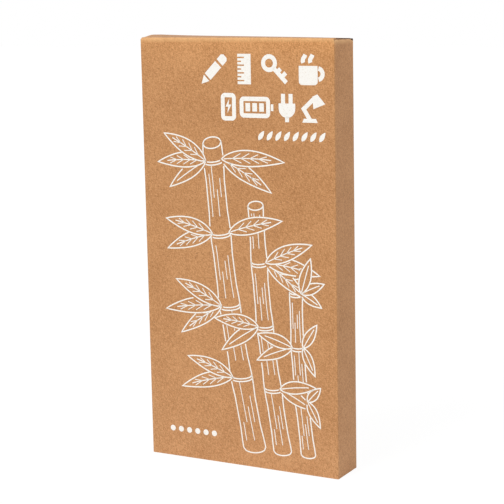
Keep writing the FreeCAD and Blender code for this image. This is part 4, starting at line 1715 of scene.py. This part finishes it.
@dataclass
class Print:
    """White line art on the front: rows of desk pictograms, small leaves, a stand of bamboo and dots."""

    sizes: CartonSizes
    finishes: Finishes
    line: float = 0.8
    rib_line: float = 0.64
    fine: float = 0.5
    bold: float = 2.7
    margin_right: float = 61.3
    film: float = 0.04 * MM
    sink: float = 0.02 * MM
    sharpest: float = 0.5  # a mitre reaches no further than half the line's width divided by this
    mesh: Mesh = field(default_factory=Mesh)
    masks: list[list[Flat]] = field(default_factory=list)

    def on_board(self, points: Iterable[Sequence[float]], out: float) -> list[Vector]:
        """Points of the print on the swelling front, out from the board by a distance in metres."""
        s = self.sizes
        return [Vector((x * MM, s.front - s.swell(x * MM, z * MM) - out, z * MM)) for x, z in points]

    def stroke(self, path: Sequence[Flat], width: float, closed: bool = False) -> None:
        """Inks a line of even width, mitred at its turns.

        Args:
            path: The line's points.
            width: Its width.
            closed: Whether it runs back to its start.
        """
        points = [Vector(p) for p in path]
        count = len(points)
        sides: list[tuple[Vector, Vector]] = []
        for n, point in enumerate(points):
            before = points[n - 1] if n or closed else None
            after = points[(n + 1) % count] if n + 1 < count or closed else None
            lead = (point - before).normalized() if before else None
            trail = (after - point).normalized() if after else None
            lead, trail = lead or trail, trail or lead
            across = Vector((-lead.y, lead.x))
            normal = Vector((-(lead.y + trail.y), lead.x + trail.x))
            normal = normal.normalized() if normal.length > TINY else across
            reach = normal * (width / 2 / max(self.sharpest, normal.dot(across)))
            sides.append((point + reach, point - reach))
        grids = [[self.on_board(pair, out) for pair in sides] for out in (self.film, -self.sink)]
        self.mesh.sheet(*grids, ring=closed)

    def fill(self, outline: Sequence[Flat]) -> None:
        """Inks a filled shape."""
        self.mesh.plate(self.on_board(outline, self.film), self.on_board(outline, -self.sink))

    def drawn(self, path: Sequence[Flat], width: float) -> None:
        """Inks a line only where no leaf or cane lies over it.

        Args:
            path: The line's points, closely spaced.
            width: Its width.
        """
        runs: list[list[Flat]] = [[]]
        for point in path:
            if any(inside(point, mask) for mask in self.masks):
                runs.append([])
            else:
                runs[-1].append(point)
        for run in runs:
            if len(run) > 1:
                self.stroke(run, width)

    def finish(self, name: str) -> None:
        """Makes one piece of everything inked since the last."""
        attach(self.mesh.piece(name, self.finishes.ink), Body.SLEEVE.value)
        self.mesh = Mesh()

    def build(self) -> None:
        """Inks every part of the front."""
        self.pictogram_rows()
        self.small_leaves()
        self.bamboo_stand()
        self.corner_dots()

    def pictogram_rows(self) -> None:
        """Two rows of bold pictograms that end at the right margin."""
        for_the_desk = (icon_pencil, icon_ruler, icon_key, icon_mug)
        for_power = (icon_phone, icon_battery, icon_plug, icon_lamp)
        rows = (
            PictogramRow(low=242.4, tall=18.4, gap=7.1, icons=for_the_desk),
            PictogramRow(low=220.0, tall=17.0, gap=2.6, icons=for_power),
        )
        for row in rows:
            right = self.margin_right
            for draw in reversed(row.icons):
                icon = draw()
                left = right - icon.width * row.tall
                for shape in icon.fills:
                    self.fill(row.placed(shape, left))
                for shape in icon.loops:
                    self.stroke(row.placed(shape, left), self.bold, closed=True)
                for shape in icon.lines:
                    self.stroke(row.placed(shape, left), self.bold)
                right = left - row.gap
        self.finish("print_pictograms")

    def small_leaves(self) -> None:
        """A line of small filled leaves under the pictograms."""
        count, pitch, first, low = 8, 5.9, 16.0, 208.6
        length, width, turn_deg = 7.4, 3.0, 58
        for n in range(count):
            self.fill(Leaf((first + n * pitch, low), length, width, turn_deg).outline())
        self.finish("print_small_leaves")

    def bamboo_stand(self) -> None:
        """Three leaning canes with leaves in front of them."""
        tall = Cane(foot=(9, 13), head=(-17, 206), width=16, knuckle_gap=46)
        middle = Cane(foot=(29, 13), head=(13, 168), width=12.5, knuckle_gap=40)
        short = Cane(foot=(47, 13), head=(40, 126), width=10, knuckle_gap=34)
        canes = (tall, middle, short)
        sprays = (
            Spray(tall, 4, Side.LEFT, ((30, 8.5, 208), (35, 9.5, 176), (36, 9.5, 146))),
            Spray(tall, 4, Side.RIGHT, ((38, 9.5, -24), (44, 10, 6))),
            Spray(tall, 3, Side.LEFT, ((34, 9.5, 192), (36, 9.5, 160))),
            Spray(tall, 3, Side.RIGHT, ((40, 10, 20),)),
            Spray(tall, 2, Side.LEFT, ((34, 9, 208), (41, 10, 180), (38, 9.5, 150))),
            Spray(tall, 1, Side.LEFT, ((38, 9.5, 188), (36, 9, 156))),
            Spray(middle, 3, Side.RIGHT, ((34, 9, -32), (37, 10, -2), (36, 9.5, 28))),
            Spray(middle, 2, Side.LEFT, ((30, 8.5, 208), (32, 9, 168))),
            Spray(middle, 1, Side.RIGHT, ((25, 8, -20), (26, 8, 14))),
            Spray(short, 2, Side.LEFT, ((26, 8, 196), (26, 8, 158))),
            Spray(short, 2, Side.RIGHT, ((18, 6, -64), (19, 6.5, 60))),
            Spray(short, 3, Side.RIGHT, ((15, 6, -24), (18, 6.5, 30), (24, 7.5, 74))),
            Spray(short, 1, Side.RIGHT, ((17, 6, -60), (14, 6, 50))),
        )
        leaves = [leaf for spray in sprays for leaf in spray.leaves()]
        edges = [leaf.outline() for leaf in leaves]
        for place, (leaf, edge) in enumerate(zip(leaves, edges)):
            self.masks = edges[place + 1:]
            self.drawn([*edge, edge[0]], self.line)
            self.drawn(leaf.rib(), self.rib_line)
            for vein in leaf.veins():
                self.drawn(vein, self.fine)
        for place, cane in enumerate(canes):
            self.masks = edges + [other.silhouette() for other in canes[:place]]
            for path in cane.lines():
                self.drawn(path, self.line)
            for path in cane.fibres():
                self.drawn(path, self.fine)
        self.finish("print_bamboo_stand")

    def corner_dots(self) -> None:
        """A short row of dots at the lower left."""
        count, pitch, first, low, radius, corners = 6, 6.2, -51.4, 18.5, 1.9, 24
        for n in range(count):
            self.fill(arc((first + n * pitch, low), radius, 0, 360 - 360 / corners, corners - 1))
        self.finish("print_corner_dots")


# The insert and the organizer

@dataclass
class Organizer:
    """The bamboo organizer, its charger and the insert tray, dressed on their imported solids."""

    finishes: Finishes
    plain_nodes: dict[str, tuple[str, ...]] = field(
        default_factory=lambda: {
            "moulded_black": ("charger_cover", "coil_tray", "controller_chip", "usb_contact_tongue"),
            "foot_rubber": ("rubber_feet",),
            "drawn_steel": ("cover_screws", "circuit_screws", "usb_shell"),
            "solder_mask": ("circuit_board",),
            "sintered_ferrite": ("ferrite_sheet", "power_inductor"),
            "capacitor_ceramic": ("resonant_capacitors",),
            "enamelled_copper": ("charging_coil", "coil_leads"),
            "white_foam": ("coil_pad",),
            "clear_acrylic": ("status_led", "light_pipe"),
        }
    )
    insert_nodes: tuple[str, ...] = (
        "insert_back", "insert_base", "insert_top_end", "insert_side_left", "insert_side_right",
    )

    def dress(self) -> None:
        """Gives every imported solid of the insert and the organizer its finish."""
        self.give(self.finishes.bamboo, ("bamboo_body",))
        self.give(self.finishes.insert, self.insert_nodes)
        for name, nodes in self.plain_nodes.items():
            self.give(self.finishes.plain[name], nodes)

    def give(self, finish: bpy.types.Material, nodes: Iterable[str]) -> None:
        """Gives some nodes one finish.

        Args:
            finish: The material.
            nodes: The nodes' names.
        """
        for name in nodes:
            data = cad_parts[name].data
            data.materials.clear()
            data.materials.append(finish)
            log.info("dressed %s in %s", name, finish.name)


# The studio

@dataclass(frozen=True)
class Lamp:
    """A wide soft lamp far away, turned from pointing straight down."""

    name: str
    strength: float
    turn_deg: Triple
    soft_deg: float
    colour: Colour

    def hang(self) -> None:
        """Makes the lamp."""
        data = bpy.data.lights.new(self.name, "SUN")
        data.energy = self.strength
        data.angle = math.radians(self.soft_deg)
        data.color = self.colour
        add_object(self.name, data).rotation_euler = [math.radians(turn) for turn in self.turn_deg]


@dataclass(frozen=True)
class Studio:
    """White floor, soft light and the camera at the photograph's angle."""

    height: float
    azimuth_deg: float = 28.7613
    elevation_deg: float = 9.8767
    roll_deg: float = -1.1377
    focal_px: float = 1516.86
    frame_px: float = 504
    sensor_mm: float = 36
    distance_share: float = 3.5453
    aside_share: float = -0.0075
    above_share: float = -0.0037
    floor_half: float = 6
    floor_matte: Colour = (0.82, 0.82, 0.82)
    floor_shadowed: Colour = (0.15, 0.15, 0.15)
    floor_glow: float = 0.9
    sky: float = 0.62
    sky_colour: Colour = (0.97, 0.985, 1)
    lamps: tuple[Lamp, ...] = (
        Lamp("key_light", strength=1.35, turn_deg=(52, 0, -22), soft_deg=35, colour=(1, 0.985, 0.96)),
        Lamp("fill_light", strength=0.4, turn_deg=(62, 0, 64), soft_deg=60, colour=(0.955, 0.945, 1)),
    )

    def build(self) -> None:
        """Makes the floor, the lights and the camera."""
        scene = bpy.context.scene
        scene.view_settings.view_transform = "Standard"
        self.floor()
        self.world()
        for lamp in self.lamps:
            lamp.hang()
        scene.camera = self.camera()

    def cleared(self, owner: bpy.types.Material | bpy.types.World) -> bpy.types.NodeTree:
        """Empties the node tree of a material or a world.

        Args:
            owner: The material or world.

        Returns:
            Its empty tree.
        """
        owner.use_nodes = True
        owner.node_tree.nodes.clear()
        return owner.node_tree

    def shader(self, tree: bpy.types.NodeTree, kind: str, **settings: Colour | float) -> Value:
        """One shader node.

        Args:
            tree: The tree that it is in.
            kind: Its kind.
            settings: Values of its sockets.

        Returns:
            What it gives.
        """
        node = tree.nodes.new(f"ShaderNode{kind}")
        for name, setting in settings.items():
            put(setting, node.inputs[name])
        return Value(tree, node.outputs[0])

    def show(self, lit: Value, seen: Value, output: str) -> None:
        """Shows one shader to the light and another to the eye, straight or in gloss and glass.

        Args:
            lit: What the light meets.
            seen: What the eye sees.
            output: The kind of node that takes the choice.
        """
        nodes = lit.tree.nodes
        path = nodes.new("ShaderNodeLightPath")
        rays = ("Is Camera Ray", "Is Glossy Ray", "Is Transmission Ray")
        straight, gloss, glass = (Value(lit.tree, path.outputs[name]) for name in rays)
        choice = nodes.new("ShaderNodeMixShader")
        for value, socket in zip((straight.most(gloss).most(glass), lit, seen), choice.inputs):
            put(value, socket)
        put(Value(lit.tree, choice.outputs["Shader"]), nodes.new(f"ShaderNode{output}").inputs["Surface"])

    def floor(self) -> None:
        """A wide white floor that keeps a faint shadow."""
        material = bpy.data.materials.new("studio_white")
        tree = self.cleared(material)
        pale = tree.nodes.new("ShaderNodeAddShader")
        put(self.shader(tree, "BsdfDiffuse", Color=self.floor_shadowed), pale.inputs[0])
        put(self.shader(tree, "Emission", Strength=self.floor_glow), pale.inputs[1])
        matte = self.shader(tree, "BsdfDiffuse", Color=self.floor_matte)
        self.show(matte, Value(tree, pale.outputs["Shader"]), "OutputMaterial")
        half = self.floor_half
        corners = [(-half, -half, 0), (half, -half, 0), (half, half, 0), (-half, half, 0)]
        data = bpy.data.meshes.new("studio_floor")
        data.from_pydata(corners, [], [(0, 1, 2, 3)])
        data.materials.append(material)
        add_object("studio_floor", data)

    def world(self) -> None:
        """A white surround that lights at a plain level."""
        world = bpy.data.worlds.new("studio_surround")
        bpy.context.scene.world = world
        tree = self.cleared(world)
        light = self.shader(tree, "Background", Color=self.sky_colour, Strength=self.sky)
        white = self.shader(tree, "Background", Color=(1, 1, 1), Strength=1)
        self.show(light, white, "OutputWorld")

    def camera(self) -> bpy.types.Object:
        """The camera that sees the carton as the photograph does.

        Returns:
            The camera.
        """
        cos_turn, sin_turn = direction(self.azimuth_deg)
        cos_lift, sin_lift = direction(self.elevation_deg)
        cos_roll, sin_roll = direction(self.roll_deg)
        level_right = Vector((cos_turn, sin_turn, 0))
        back = Vector((sin_turn * cos_lift, -cos_turn * cos_lift, sin_lift))
        level_up = back.cross(level_right)
        right = level_right * cos_roll + level_up * sin_roll
        up = level_up * cos_roll - level_right * sin_roll
        away = back * self.distance_share - right * self.aside_share - up * self.above_share
        middle = Vector((0, 0, self.height / 2))
        data = bpy.data.cameras.new("studio_camera")
        data.sensor_width = self.sensor_mm
        data.lens = self.focal_px / self.frame_px * self.sensor_mm
        item = add_object("studio_camera", data)
        axes = Matrix((right, up, back)).transposed().to_4x4()
        item.matrix_world = Matrix.Translation(middle + away * self.height) @ axes
        return item


def main() -> None:
    """Builds the carton, its print, the organizer and the studio, in that order."""
    logging.basicConfig(level=logging.INFO, format="%(name)s: %(message)s")
    finishes = Finishes.build()
    sizes = CartonSizes.from_frame()
    Sleeve(sizes, finishes).build()
    lid = Lid(sizes, finishes)
    lid.build()
    lid.build_fold()
    for side, body in ((Side.LEFT, Body.FLAP_LEFT), (Side.RIGHT, Body.FLAP_RIGHT)):
        flap = DustFlap(sizes, finishes, side, body)
        flap.build()
        flap.build_fold()
    Print(sizes, finishes).build()
    Organizer(finishes).dress()
    Studio(sizes.height).build()


if __name__ == "__main__":
    main()
